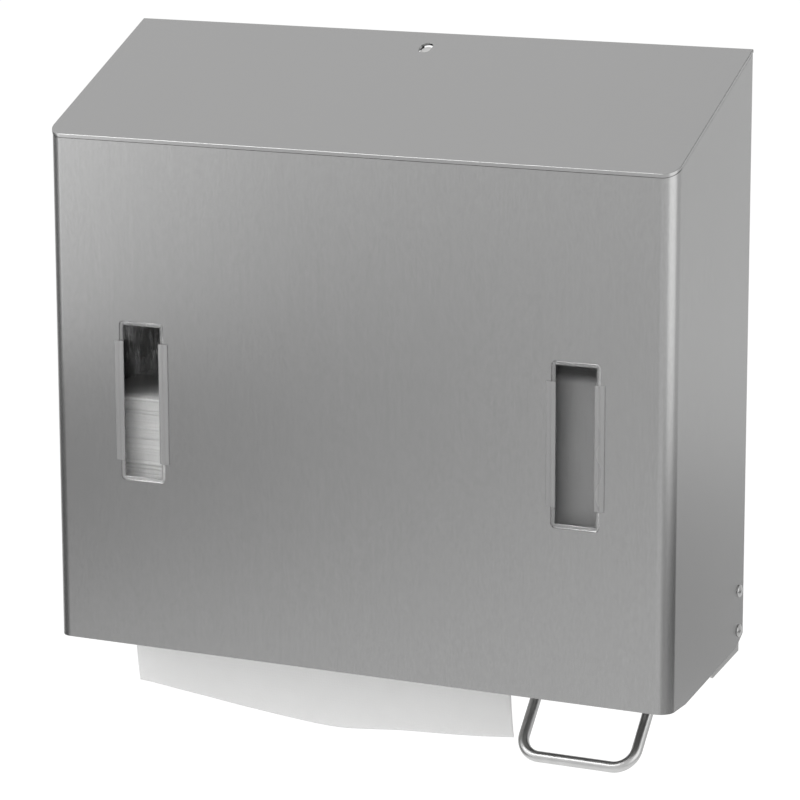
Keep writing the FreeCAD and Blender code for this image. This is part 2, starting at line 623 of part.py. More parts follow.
def towel_sheet():
    """The next towel: flat in the seam of the stack, through the throat, and curling to the wall below."""
    half = SHEET_THICKNESS / 2
    curl_y = SHEET_Y + SHEET_CURL_RADIUS
    sweep = math.asin((SHEET_LOWEST_DROP + 5) / SHEET_CURL_RADIUS)
    top = STACK_BOTTOM + SHEET_INSIDE

    def curl_point(radius, share):
        turn = sweep * share
        return V(STACK_LEFT, curl_y - radius * math.cos(turn), -radius * math.sin(turn))

    outer, inner = SHEET_CURL_RADIUS + half, SHEET_CURL_RADIUS - half
    edges = [
        Part.LineSegment(V(STACK_LEFT, SHEET_Y - half, top), curl_point(outer, 0)),
        Part.Arc(curl_point(outer, 0), curl_point(outer, 0.5), curl_point(outer, 1)),
        Part.LineSegment(curl_point(outer, 1), curl_point(inner, 1)),
        Part.Arc(curl_point(inner, 1), curl_point(inner, 0.5), curl_point(inner, 0)),
        Part.LineSegment(curl_point(inner, 0), V(STACK_LEFT, SHEET_Y + half, top)),
        Part.LineSegment(V(STACK_LEFT, SHEET_Y + half, top), V(STACK_LEFT, SHEET_Y - half, top)),
    ]
    profile = Part.Wire([e.toShape() for e in edges])
    sheet = Part.Face(profile).extrude(V(TOWEL_WIDTH, 0, 0))
    hem = [
        (-1, SHEET_LEFT_DROP),
        (SHEET_LEFT_BEND, SHEET_LEFT_BEND_DROP),
        (SHEET_LOWEST, SHEET_LOWEST_DROP),
        (SHEET_RIGHT_BEND, SHEET_RIGHT_BEND_DROP),
        (TOWEL_WIDTH + 1, SHEET_RIGHT_DROP),
    ]
    corners = [V(STACK_LEFT + x, SHEET_Y - 10, -drop) for x, drop in hem]
    low = -2 * SHEET_LOWEST_DROP
    corners = corners + [V(STACK_RIGHT + 1, SHEET_Y - 10, low), V(STACK_LEFT - 1, SHEET_Y - 10, low)]
    waste = Part.Face(Part.makePolygon(corners + corners[:1])).extrude(V(0, SHEET_CURL_RADIUS, 0))
    return sheet.cut(waste)


def soap_bracket():
    """One bent sheet: shelf, front lip, rear flange on the back plate, and two ears down to the axle."""
    x0, x1 = LEVER_X - EAR_OUTER, LEVER_X + EAR_OUTER
    shelf_front = TANK_FRONT - SEAT_GAP - BRACKET_SHEET
    shelf = box(x0, x1, shelf_front, -CHASSIS_SHEET, SHELF_HEIGHT, SHELF_TOP)
    lip = box(x0, x1, shelf_front, shelf_front + BRACKET_SHEET, SHELF_HEIGHT, SHELF_TOP + SHELF_LIP)
    flange = box(
        x0, x1, -CHASSIS_SHEET - BRACKET_SHEET, -CHASSIS_SHEET,
        SHELF_HEIGHT, SHELF_HEIGHT + BRACKET_FLANGE_HEIGHT,
    )
    toe = AXLE_HEIGHT - BRACKET_EAR_BELOW_AXLE
    outline = [
        (-CHASSIS_SHEET - BRACKET_SHEET, SHELF_HEIGHT + 0.1),
        (AXLE_Y + BRACKET_EAR_WIDTH / 2, toe),
        (AXLE_Y - BRACKET_EAR_WIDTH / 2, toe),
        (AXLE_Y - BRACKET_EAR_WIDTH, SHELF_HEIGHT + 0.1),
    ]
    ears = []
    for side in (-1, 1):
        ear_x0, ear_x1 = sorted((LEVER_X + side * EAR_INNER, LEVER_X + side * EAR_OUTER))
        ear = side_sheet(outline, ear_x0, ear_x1)
        low = [e for e in edges_along(ear, V(1, 0, 0)) if e.CenterOfMass.z < toe + 0.01]
        ears = ears + [ear.makeFillet(BRACKET_EAR_ROUND, low)]
    whole = joined([shelf, lip, flange] + ears)
    whole = whole.cut(crossbar(AXLE_Y, AXLE_HEIGHT, x0 - 1, x1 + 1, AXLE_RADIUS + FIT))
    whole = whole.cut(upright(LEVER_X, PUMP_Y, SHELF_HEIGHT - 1, SHELF_TOP + 1, PUMP_BODY_RADIUS + FIT))
    for x, y in pump_screw_points():
        whole = whole.cut(upright(x, y, SHELF_HEIGHT - 1, SHELF_TOP + 1, PUMP_SCREW_RADIUS + FIT))
    for x, z in bracket_screw_points():
        whole = whole.cut(rod(V(x, -5, z), V(x, 5, z), SCREW_RADIUS + FIT))
    return whole


def bracket_screw_points():
    """The X and Z of the screws that hold the soap bracket to the back plate."""
    z = SHELF_HEIGHT + BRACKET_SCREW_HEIGHT
    return [(LEVER_X - BRACKET_SCREW_SPACING / 2, z), (LEVER_X + BRACKET_SCREW_SPACING / 2, z)]


def latch_screw_points():
    """The X and Z of the screws that hold the latch housing to the back plate."""
    x = BOLT_WIDTH / 2 + HOUSING_WALL + LUG_REACH / 2
    z = housing_bottom() + LUG_HEIGHT
    return [(-x, z), (x, z)]


def pump_screw_points():
    """The X and Y of the three screws through the pump's flange."""
    ring = PUMP_FLANGE_RADIUS - PUMP_SCREW_INSET
    turns = [math.radians(30 + 120 * n) for n in range(3)]
    return [(LEVER_X + ring * math.cos(t), PUMP_Y + ring * math.sin(t)) for t in turns]


def pan_screw(grip, shank, head, head_height):
    """A cross-recessed pan head screw at the origin, its shank along -Z."""
    top = upright(0, 0, 0, head_height, head)
    rim = [e for e in top.Edges if e.CenterOfMass.z > head_height - 0.01]
    top = top.makeFillet(head_height * 0.45, rim)
    whole = joined([top, upright(0, 0, -grip, 0.1, shank)])
    arm, half = head * 0.55, RECESS_WIDTH / 2
    low = head_height * 0.5
    cross = box(-arm, arm, -half, half, low, head_height + 1)
    return whole.cut(cross.fuse(box(-half, half, -arm, arm, low, head_height + 1)))


def screws_into_wall(points, seat):
    """Pan head screws at X and Z places, with their heads on a face in front of the back plate."""
    screw = pan_screw(-seat - SCREW_SHORT_OF_WALL, SCREW_RADIUS, SCREW_HEAD_RADIUS, SCREW_HEAD_HEIGHT)
    return Part.makeCompound([placed(screw, V(x, seat, z), V(0, 1, 0)) for x, z in points])


def bracket_screws():
    return screws_into_wall(bracket_screw_points(), -CHASSIS_SHEET - BRACKET_SHEET)


def latch_screws():
    return screws_into_wall(latch_screw_points(), -CHASSIS_SHEET - LUG_SHEET)


def pump_screws():
    """Three small screws up through the pump's flange into the shelf."""
    grip = PUMP_FLANGE_HEIGHT + BRACKET_SHEET - FIT
    screw = pan_screw(grip, PUMP_SCREW_RADIUS, PUMP_SCREW_HEAD_RADIUS, PUMP_SCREW_HEAD_HEIGHT)
    seat = SHELF_HEIGHT - PUMP_FLANGE_HEIGHT
    return Part.makeCompound([placed(screw, V(x, y, seat), V(0, 0, 1)) for x, y in pump_screw_points()])


def tank_block(inset, z0, z1):
    """The tank's outside, or its inside where it is drawn in by the wall."""
    half = TANK_WIDTH / 2 - inset
    block = box(TANK_X - half, TANK_X + half, TANK_FRONT + inset, TANK_REAR - inset, z0, z1)
    block = rounded(block, TANK_CORNER - inset, V(0, 0, 1))
    rim = [e for e in block.Edges if abs(e.BoundBox.ZMin - z1) < 0.01]
    return block.makeFillet(TANK_SHOULDER - inset, rim)


def soap_tank():
    """A moulded tank with a wide neck on top, two lugs for its lid and a hole for the pump below."""
    tank = tank_block(0, TANK_BOTTOM, TANK_TOP)
    neck = upright(TANK_X, NECK_Y, TANK_TOP - TANK_WALL, NECK_TOP, NECK_RADIUS)
    lugs = []
    for side in (-1, 1):
        near = LID_KNUCKLE_WIDTH / 2 + SEAT_GAP
        x0, x1 = sorted((TANK_X + side * near, TANK_X + side * (near + LID_LUG_WIDTH)))
        half = LID_KNUCKLE_RADIUS
        lugs = lugs + [
            box(x0, x1, LID_HINGE_Y - half, LID_HINGE_Y + half, TANK_TOP - TANK_WALL, LID_HINGE_Z),
            crossbar(LID_HINGE_Y, LID_HINGE_Z, x0, x1, half),
        ]
    tank = joined([tank, neck] + lugs)
    tank = tank.cut(tank_block(TANK_WALL, TANK_BOTTOM + TANK_FLOOR, TANK_TOP - TANK_WALL))
    tank = tank.cut(upright(TANK_X, NECK_Y, TANK_TOP - 2 * TANK_WALL, NECK_TOP + 1, NECK_RADIUS - NECK_WALL))
    lug_reach = LID_KNUCKLE_WIDTH / 2 + LID_LUG_WIDTH + 5
    pin_hole = crossbar(LID_HINGE_Y, LID_HINGE_Z, TANK_X - lug_reach, TANK_X + lug_reach, LID_PIN_RADIUS + FIT)
    tank = tank.cut(pin_hole)
    return tank.cut(upright(LEVER_X, PUMP_Y, TANK_BOTTOM - 1, TANK_BOTTOM + TANK_FLOOR + 1, TANK_HOLE_RADIUS))


def tank_lid():
    """A cap over the neck, hinged behind, with a finger tab in front."""
    skirt_bottom = NECK_TOP - LID_SKIRT
    under = NECK_TOP + SEAT_GAP
    top = under + LID_TOP
    cap = upright(TANK_X, NECK_Y, skirt_bottom, top, LID_OUTER)
    cap = cap.cut(upright(TANK_X, NECK_Y, skirt_bottom - 1, under, LID_OUTER - LID_WALL))
    tab_half = LID_TAB_WIDTH / 2
    tab_front = NECK_Y - LID_OUTER - LID_TAB_LENGTH
    tab = box(TANK_X - tab_half, TANK_X + tab_half, tab_front, NECK_Y - LID_OUTER + 2, top - LID_TOP, top)
    half = LID_KNUCKLE_WIDTH / 2
    knuckle = crossbar(LID_HINGE_Y, LID_HINGE_Z, TANK_X - half, TANK_X + half, LID_KNUCKLE_RADIUS)
    web = box(
        TANK_X - half, TANK_X + half, NECK_Y + LID_OUTER - LID_WALL / 2, LID_HINGE_Y,
        LID_HINGE_Z - 1, LID_HINGE_Z + LID_KNUCKLE_RADIUS,
    )
    lid = joined([cap, tab, knuckle, web])
    return lid.cut(crossbar(LID_HINGE_Y, LID_HINGE_Z, TANK_X - half - 1, TANK_X + half + 1, LID_PIN_RADIUS + FIT))


def lid_pin():
    """The pin through the lid's knuckle and the tank's lugs."""
    reach = LID_KNUCKLE_WIDTH / 2 + SEAT_GAP + LID_LUG_WIDTH
    return crossbar(LID_HINGE_Y, LID_HINGE_Z, TANK_X - reach, TANK_X + reach, LID_PIN_RADIUS)


def tank_grommet():
    """A rubber ring in the hole of the tank's floor, sealing it on the pump's neck."""
    bottom = TANK_BOTTOM
    floor_top = TANK_BOTTOM + TANK_FLOOR
    ring = upright(LEVER_X, PUMP_Y, bottom, floor_top + GROMMET_LIP_HEIGHT, TANK_HOLE_RADIUS - FIT)
    lip_z = floor_top + FIT
    lip = upright(LEVER_X, PUMP_Y, lip_z, floor_top + GROMMET_LIP_HEIGHT, TANK_HOLE_RADIUS + GROMMET_LIP)
    whole = joined([ring, lip])
    return whole.cut(upright(LEVER_X, PUMP_Y, bottom - 1, floor_top + GROMMET_LIP_HEIGHT + 1, PUMP_NECK_RADIUS + FIT))


def pump_body():
    """The cylinder: a flange under the shelf, a neck up into the tank and inlet holes in its roof."""
    barrel = upright(LEVER_X, PUMP_Y, PUMP_BOTTOM, SHELF_TOP, PUMP_BODY_RADIUS)
    neck = upright(LEVER_X, PUMP_Y, SHELF_TOP - 1, PUMP_TOP, PUMP_NECK_RADIUS)
    flange = upright(LEVER_X, PUMP_Y, SHELF_HEIGHT - PUMP_FLANGE_HEIGHT, SHELF_HEIGHT, PUMP_FLANGE_RADIUS)
    body = joined([barrel, neck, flange])
    body = body.cut(upright(LEVER_X, PUMP_Y, PUMP_BOTTOM - 1, BORE_TOP, PUMP_BORE_RADIUS))
    body = body.cut(upright(LEVER_X, PUMP_Y, BORE_TOP - 1, PUMP_TOP + 1, VALVE_STEM_RADIUS + FIT))
    for n in range(4):
        turn = math.radians(90 * n)
        x = LEVER_X + INLET_RING_RADIUS * math.cos(turn)
        y = PUMP_Y + INLET_RING_RADIUS * math.sin(turn)
        body = body.cut(upright(x, y, BORE_TOP - 1, PUMP_TOP + 1, INLET_HOLE_RADIUS))
    for x, y in pump_screw_points():
        low = SHELF_HEIGHT - PUMP_FLANGE_HEIGHT - 1
        body = body.cut(upright(x, y, low, SHELF_HEIGHT + FIT, PUMP_SCREW_RADIUS + FIT))
    return body


def pump_cap():
    """The plug in the bottom of the cylinder, which guides the stem."""
    disc = upright(LEVER_X, PUMP_Y, CAP_BOTTOM, PUMP_BOTTOM, PUMP_BODY_RADIUS)
    spigot = upright(LEVER_X, PUMP_Y, PUMP_BOTTOM - 1, PUMP_BOTTOM + PUMP_CAP_SPIGOT, PUMP_BORE_RADIUS - FIT)
    whole = joined([disc, spigot])
    return whole.cut(upright(LEVER_X, PUMP_Y, CAP_BOTTOM - 1, PUMP_BOTTOM + PUMP_CAP_SPIGOT + 1, STEM_RADIUS + FIT))


def inlet_valve():
    """A rubber umbrella under the inlet holes, held by a knob above the roof."""
    disc = upright(LEVER_X, PUMP_Y, BORE_TOP - VALVE_THICKNESS, BORE_TOP, VALVE_RADIUS)
    stem = upright(LEVER_X, PUMP_Y, BORE_TOP - 0.5, PUMP_TOP + FIT + 1, VALVE_STEM_RADIUS)
    knob = upright(LEVER_X, PUMP_Y, PUMP_TOP + FIT, PUMP_TOP + FIT + 1, VALVE_KNOB_RADIUS)
    return joined([disc, stem, knob])


def pump_piston():
    """Piston, stem, collar and nozzle in one moulding, bored through for the soap."""
    head_radius = PUMP_BORE_RADIUS - PISTON_PLAY
    head = upright(LEVER_X, PUMP_Y, PISTON_BOTTOM, PISTON_TOP, head_radius)
    stem = upright(LEVER_X, PUMP_Y, NOZZLE_BOTTOM, PISTON_BOTTOM + 1, STEM_RADIUS)
    collar = upright(LEVER_X, PUMP_Y, COLLAR_BOTTOM, COLLAR_TOP, COLLAR_RADIUS)
    whole = joined([head, stem, collar])
    middle = (PISTON_BOTTOM + PISTON_TOP) / 2
    groove = upright(LEVER_X, PUMP_Y, middle - GROOVE_WIDTH / 2, middle + GROOVE_WIDTH / 2, head_radius + 1)
    core = upright(LEVER_X, PUMP_Y, middle - GROOVE_WIDTH, middle + GROOVE_WIDTH, head_radius - GROOVE_DEPTH)
    whole = whole.cut(groove.cut(core))
    whole = whole.cut(upright(LEVER_X, PUMP_Y, NOZZLE_BOTTOM - 1, PISTON_TOP + 1, STEM_BORE_RADIUS))
    return whole.cut(upright(LEVER_X, PUMP_Y, NOZZLE_BOTTOM - 1, NOZZLE_BOTTOM + TIP_DEPTH, TIP_RADIUS))


def piston_seal():
    """The O-ring in the piston's groove."""
    ring_radius = PUMP_BORE_RADIUS - SEAL_PLAY - SEAL_WIRE_RADIUS
    return Part.makeTorus(ring_radius, SEAL_WIRE_RADIUS, V(LEVER_X, PUMP_Y, (PISTON_BOTTOM + PISTON_TOP) / 2))


def outlet_valve():
    """A soft plug in the nozzle's mouth, slit so that soap leaves but doesn't drip."""
    bottom, top = NOZZLE_BOTTOM + 0.5, NOZZLE_BOTTOM + TIP_DEPTH - FIT
    plug = upright(LEVER_X, PUMP_Y, bottom, top, TIP_RADIUS - FIT)
    plug = plug.cut(upright(LEVER_X, PUMP_Y, bottom + 1.2, top + 1, STEM_BORE_RADIUS))
    half = TIP_SLIT / 2
    slit = box(LEVER_X - half, LEVER_X + half, PUMP_Y - STEM_BORE_RADIUS, PUMP_Y + STEM_BORE_RADIUS, bottom - 1, top)
    return plug.cut(slit)


def arc_from(start, way, end):
    """The circular arc that leaves a start point along a way and passes through an end point."""
    chord = end - start
    along = V(chord).normalize()
    side = way - along * way.dot(along)
    side.normalize()
    bow = chord.Length / 2 * math.tan(way.getAngle(chord) / 2)
    return Part.Arc(start, (start + end) * 0.5 + side * bow, end).toShape()


def coil(x, y, z0, z1, radius, wire, turns):
    """A round wire wound about an upright axis, on pairs of arcs that meet smoothly every quarter turn."""
    steps = int(round(turns * 4))
    rise = (z1 - z0) / steps
    quarter = math.pi / 2

    def point(n):
        return V(x + radius * math.cos(n * quarter), y + radius * math.sin(n * quarter), z0 + rise * n)

    def heading(n):
        return V(-radius * quarter * math.sin(n * quarter), radius * quarter * math.cos(n * quarter), rise).normalize()

    trace = [point(steps * n / (turns * 24)) for n in range(int(turns * 24) + 1)]
    far_apart = [(a - b).Length for n, a in enumerate(trace) for b in trace[n + 12:]]
    print("least gap between turns", round(min(far_apart) - 2 * wire, 2))
    edges = []
    for n in range(steps):
        start, end = point(n), point(n + 1)
        leave, arrive = heading(n), heading(n + 1)
        chord = end - start
        both = leave + arrive
        bend = 2 * (1 - leave.dot(arrive))
        reach = (-chord.dot(both) + math.sqrt(chord.dot(both) ** 2 + bend * chord.dot(chord))) / bend
        meet = (start + end + (leave - arrive) * reach) * 0.5
        edges.append(arc_from(start, leave, meet))
        edges.append(arc_from(end, arrive * -1, meet))
    spine = Part.Wire(edges)
    section = Part.Wire(Part.Circle(point(0), heading(0), wire).toShape())
    return spine.makePipeShell([section], True, False)


def pump_spring():
    """The spring between the pump's cap and the piston's collar, which returns piston and lever."""
    clear = PUMP_SPRING_WIRE + SEAT_GAP
    return coil(
        LEVER_X, PUMP_Y, COLLAR_TOP + clear, CAP_BOTTOM - clear,
        PUMP_SPRING_RADIUS, PUMP_SPRING_WIRE, PUMP_SPRING_TURNS,
    )


def root_point(across, along):
    """A point on a leg above its knee, which leaves the rocker straight down."""
    return V(LEVER_X + across, AXLE_Y, AXLE_HEIGHT - along)


def lever_point(across, along):
    """A point of the loop below the knees, which leans forwards so that the front panel can swing past it."""
    lean = math.radians(LEVER_LEAN)
    return V(LEVER_X + across, AXLE_Y - along * math.sin(lean), AXLE_HEIGHT - LEVER_ROOT - along * math.cos(lean))


def knee(across):
    """The arc of one knee, from the straight root to the leaning leg."""
    half_turn = math.radians(LEVER_LEAN) / 2
    tangent = LEVER_KNEE_RADIUS * math.tan(half_turn)
    start = root_point(across, LEVER_ROOT - tangent)
    drop = LEVER_KNEE_RADIUS * math.sin(half_turn)
    middle = V(start.x, start.y - LEVER_KNEE_RADIUS * (1 - math.cos(half_turn)), start.z - drop)
    return start, middle, lever_point(across, tangent)


def lever_bar():
    """The U of polished wire that the user pushes."""
    half, bend, reach = LEVER_WIDTH / 2, LEVER_BEND_RADIUS, LEVER_REACH
    inset = bend * (1 - math.sqrt(0.5))
    left_top, left_low = root_point(-half, SOCKET_START), lever_point(-half, reach - bend)
    right_top, right_low = root_point(half, SOCKET_START), lever_point(half, reach - bend)
    bar_left, bar_right = lever_point(-half + bend, reach), lever_point(half - bend, reach)
    left_knee, right_knee = knee(-half), knee(half)
    edges = [
        Part.LineSegment(left_top, left_knee[0]),
        Part.Arc(*left_knee),
        Part.LineSegment(left_knee[2], left_low),
        Part.Arc(left_low, lever_point(-half + inset, reach - inset), bar_left),
        Part.LineSegment(bar_left, bar_right),
        Part.Arc(bar_right, lever_point(half - inset, reach - inset), right_low),
        Part.LineSegment(right_low, right_knee[2]),
        Part.Arc(*right_knee[::-1]),
        Part.LineSegment(right_knee[0], right_top),
    ]
    spine = Part.Wire([e.toShape() for e in edges])
    section = Part.Wire(Part.Circle(left_top, left_knee[0] - left_top, WIRE_RADIUS).toShape())
    return spine.makePipeShell([section], True, False)


def lever_rocker():
    """The moulded hub that holds both legs of the wire, with a fork behind that lifts the piston."""
    hub = crossbar(AXLE_Y, AXLE_HEIGHT, LEVER_X - HUB_HALF_LENGTH, LEVER_X + HUB_HALF_LENGTH, HUB_RADIUS)
    shapes = [hub]
    for side in (-1, 1):
        across = side * LEVER_WIDTH / 2
        shapes.append(rod(root_point(across, 0), root_point(across, SOCKET_LENGTH), SOCKET_RADIUS))
        near = LEVER_X + side * ROCKER_FORK_GAP / 2
        x0, x1 = sorted((near, near + side * ROCKER_ARM_WIDTH))
        half = ROCKER_ARM_HALF_THICKNESS
        shapes.append(box(x0, x1, AXLE_Y, PUMP_Y, AXLE_HEIGHT - half, AXLE_HEIGHT + half))
        shapes.append(crossbar(PUMP_Y, AXLE_HEIGHT, x0, x1, half))
    rocker = joined(shapes)
    for side in (-1, 1):
        across = side * LEVER_WIDTH / 2
        socket = rod(root_point(across, SOCKET_START - FIT), root_point(across, SOCKET_LENGTH + 5), WIRE_RADIUS + FIT)
        rocker = rocker.cut(socket)
    reach = HUB_HALF_LENGTH + 1
    return rocker.cut(crossbar(AXLE_Y, AXLE_HEIGHT, LEVER_X - reach, LEVER_X + reach, AXLE_RADIUS + FIT))


def lever_axle():
    """The steel pin through the bracket's ears and the rocker, with a groove for a clip at each end."""
    axle = crossbar(AXLE_Y, AXLE_HEIGHT, LEVER_X - AXLE_HALF_LENGTH, LEVER_X + AXLE_HALF_LENGTH, AXLE_RADIUS)
    for x0, x1 in clip_places():
        ring = crossbar(AXLE_Y, AXLE_HEIGHT, x0, x1, AXLE_RADIUS + 1)
        axle = axle.cut(ring.cut(crossbar(AXLE_Y, AXLE_HEIGHT, x0, x1, AXLE_RADIUS - CLIP_DEPTH)))
    return axle


def clip_places():
    """The X limits of the two clip grooves."""
    near, far = CLIP_INNER, CLIP_INNER + CLIP_THICKNESS
    return [(LEVER_X - far, LEVER_X - near), (LEVER_X + near, LEVER_X + far)]


def axle_clips():
    """Two open rings that keep the axle in the ears."""
    clips = []
    inner = AXLE_RADIUS - CLIP_DEPTH + FIT
    for x0, x1 in clip_places():
        ring = crossbar(AXLE_Y, AXLE_HEIGHT, x0 + FIT, x1 - FIT, CLIP_RADIUS)
        ring = ring.cut(crossbar(AXLE_Y, AXLE_HEIGHT, x0, x1, inner))
        mouth = box(x0, x1, AXLE_Y - inner, AXLE_Y + inner, AXLE_HEIGHT - CLIP_RADIUS - 1, AXLE_HEIGHT)
        clips.append(ring.cut(mouth))
    return Part.makeCompound(clips)


def bolt_top():
    """The top of the latch bolt at rest: unlocked, its travel below the top plate."""
    return roof_under(BOLT_FRONT) - LATCH_TOP_ROOM - LATCH_TRAVEL


def arm_top():
    """The top of the bolt's arm, below its tooth."""
    return bolt_top() - LATCH_ARM_DROP


def housing_top():
    """The housing's upper face, which the bolt's arm comes down on."""
    return arm_top() - LATCH_ARM_HEIGHT - SEAT_GAP


def housing_bottom():
    """The underside of the latch housing."""
    return bolt_top() - BOLT_LENGTH - BOLT_SPRING_ROOM - HOUSING_FLOOR


def latch_button():
    """The button on the bolt, which rises into the key hole and ends level with the top plate."""
    half = KEY_HOLE_WIDTH / 2 - BUTTON_ROOM
    lean = TOP_SHEET / 2 * math.sin(ROOF_SLOPE)
    reach = KEY_HOLE_LENGTH / 2 * math.cos(ROOF_SLOPE) - lean - BUTTON_ROOM
    block = box(-half, half, KEY_Y - reach, KEY_Y + reach, bolt_top() - 1, REAR_HEIGHT)
    block = rounded(block, min(half, reach) - FIT, V(0, 0, 1))
    return block.cut(roof_slab(-REAR_HEIGHT, (TOP_SHEET + BUTTON_ROOM) / math.cos(ROOF_SLOPE)))


def latch_bolt():
    """The white plastic slide under the key hole, with a toothed arm that locks the catch when it rises."""
    half = BOLT_WIDTH / 2
    stem = box(-half, half, BOLT_FRONT, BOLT_REAR, bolt_top() - BOLT_LENGTH, bolt_top())
    arm_half = LATCH_ARM_WIDTH / 2
    arm_front = BOLT_FRONT - LATCH_ARM_REACH
    arm = box(-arm_half, arm_half, arm_front, BOLT_FRONT, arm_top() - LATCH_ARM_HEIGHT, arm_top())
    tooth = box(-arm_half, arm_half, arm_front, arm_front + TOOTH_DEPTH, arm_top(), arm_top() + TOOTH_HEIGHT)
    return joined([stem, latch_button(), arm, tooth])


def latch_housing():
    """The block that guides the bolt, screwed to the back plate by a lug on each side."""
    half = BOLT_WIDTH / 2 + HOUSING_WALL
    front = BOLT_FRONT - HOUSING_FRONT
    block = box(-half, half, front, -CHASSIS_SHEET, housing_bottom(), housing_top())
    lug_half = half + LUG_REACH
    lug_z = housing_bottom() + LUG_HEIGHT / 2
    lugs = box(-lug_half, lug_half, -CHASSIS_SHEET - LUG_SHEET, -CHASSIS_SHEET, lug_z, lug_z + LUG_HEIGHT)
    whole = joined([block, lugs])
    channel_half = BOLT_WIDTH / 2 + HOUSING_ROOM
    channel_bottom = housing_bottom() + HOUSING_FLOOR
    channel = box(
        -channel_half, channel_half, BOLT_FRONT - HOUSING_ROOM, BOLT_REAR + HOUSING_ROOM,
        channel_bottom, housing_top() + 1,
    )
    whole = whole.cut(channel)
    for x, z in latch_screw_points():
        whole = whole.cut(rod(V(x, -20, z), V(x, 5, z), SCREW_RADIUS + FIT))
    return whole


def latch_spring():
    """The spring under the bolt."""
    clear = BOLT_SPRING_WIRE + SEAT_GAP
    low = housing_bottom() + HOUSING_FLOOR
    return coil(
        0, KEY_Y, low + clear, low + BOLT_SPRING_ROOM - clear,
        BOLT_SPRING_RADIUS, BOLT_SPRING_WIRE, BOLT_SPRING_TURNS,
    )


def catch_bracket():
    """A bent strip welded under the top plate, with a hole for the bolt's tooth."""
    tooth_front = BOLT_FRONT - LATCH_ARM_REACH
    tooth_rear = tooth_front + TOOTH_DEPTH
    under = arm_top() + TOOTH_HEIGHT + CATCH_LIFT
    leg_rear = tooth_front - CATCH_ROOM - CATCH_RIM
    leg_front = leg_rear - CATCH_SHEET
    foot_front = leg_rear - CATCH_FOOT
    tab_rear = (tooth_rear + CATCH_ROOM + BOLT_FRONT) / 2
    outline = [
        (foot_front, roof_under(foot_front)),
        (leg_rear, roof_under(leg_rear)),
        (leg_rear, under + CATCH_SHEET),
        (tab_rear, under + CATCH_SHEET),
        (tab_rear, under),
        (leg_front, under),
        (leg_front, roof_under(leg_front) - CATCH_SHEET),
        (foot_front, roof_under(foot_front) - CATCH_SHEET),
    ]
    strip = side_sheet(outline, -CATCH_WIDTH / 2, CATCH_WIDTH / 2)
    half = LATCH_ARM_WIDTH / 2 + CATCH_ROOM
    hole = box(-half, half, tooth_front - CATCH_ROOM, tooth_rear + CATCH_ROOM, under - 1, under + CATCH_SHEET + 1)
    return strip.cut(hole)


def save(name, shape):
    """Drops a piece into the frame of the wall screws and writes it."""
    shape = shape.copy()
    shape.translate(V(0, 0, -WALL_SCREW_HEIGHT))
    shape.exportStep("parts/" + name + ".step")


PIECES = {
    "back_plate": back_plate,
    "partition_plate": partition_plate,
    "towel_tray": towel_tray,
    "towel_stack": towel_stack,
    "towel_sheet": towel_sheet,
    "soap_bracket": soap_bracket,
    "bracket_screws": bracket_screws,
    "soap_tank": soap_tank,
    "tank_lid": tank_lid,
    "lid_pin": lid_pin,
    "tank_grommet": tank_grommet,
    "pump_body": pump_body,
    "pump_cap": pump_cap,
    "pump_screws": pump_screws,
    "inlet_valve": inlet_valve,
    "pump_piston": pump_piston,
    "piston_seal": piston_seal,
    "outlet_valve": outlet_valve,
    "pump_spring": pump_spring,
    "lever_bar": lever_bar,
    "lever_rocker": lever_rocker,
    "lever_axle": lever_axle,
    "axle_clips": axle_clips,
    "latch_housing": latch_housing,
    "latch_bolt": latch_bolt,
    "latch_spring": latch_spring,
    "latch_screws": latch_screws,
    "cover_shell": cover_shell,
    "top_plate": top_plate,
    "catch_bracket": catch_bracket,
    "towel_window": lambda: window(window_places()[0]),
    "soap_window": lambda: window(window_places()[1]),
    "hinge_rivets": hinge_rivets,
    "stop_rivets": stop_rivets,
    "hinge_washers": hinge_washers,
}

os.makedirs("parts", exist_ok=True)
for name, make in PIECES.items():
    save(name, make())
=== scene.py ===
import math

import bmesh
import bpy
import numpy as np
from mathutils import Matrix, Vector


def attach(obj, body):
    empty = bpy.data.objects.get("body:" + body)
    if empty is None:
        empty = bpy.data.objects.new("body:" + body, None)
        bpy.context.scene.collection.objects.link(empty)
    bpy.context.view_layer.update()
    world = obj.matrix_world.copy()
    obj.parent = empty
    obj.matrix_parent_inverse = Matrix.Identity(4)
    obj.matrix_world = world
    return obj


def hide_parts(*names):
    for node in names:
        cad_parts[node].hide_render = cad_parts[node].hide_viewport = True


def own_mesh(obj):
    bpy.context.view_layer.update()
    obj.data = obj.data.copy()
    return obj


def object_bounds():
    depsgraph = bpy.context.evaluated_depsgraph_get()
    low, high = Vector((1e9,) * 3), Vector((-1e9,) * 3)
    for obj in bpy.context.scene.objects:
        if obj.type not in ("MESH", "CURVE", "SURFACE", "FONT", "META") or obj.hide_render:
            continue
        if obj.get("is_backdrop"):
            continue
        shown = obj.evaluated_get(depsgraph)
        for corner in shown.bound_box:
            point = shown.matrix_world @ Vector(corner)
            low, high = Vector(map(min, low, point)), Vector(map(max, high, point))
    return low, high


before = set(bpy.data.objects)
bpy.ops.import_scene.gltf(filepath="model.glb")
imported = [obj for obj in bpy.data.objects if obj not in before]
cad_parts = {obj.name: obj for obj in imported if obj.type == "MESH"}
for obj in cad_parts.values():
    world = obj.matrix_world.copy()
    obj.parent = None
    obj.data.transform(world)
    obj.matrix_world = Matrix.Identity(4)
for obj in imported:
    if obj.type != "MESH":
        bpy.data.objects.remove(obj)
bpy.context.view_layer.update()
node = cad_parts
MM = 0.001


# Back plate. A sheet of stainless steel bent forwards at both sides, screwed flat to the wall.
# It carries every other piece. The mill leaves it a dull even grey, with a faint grain along its height.

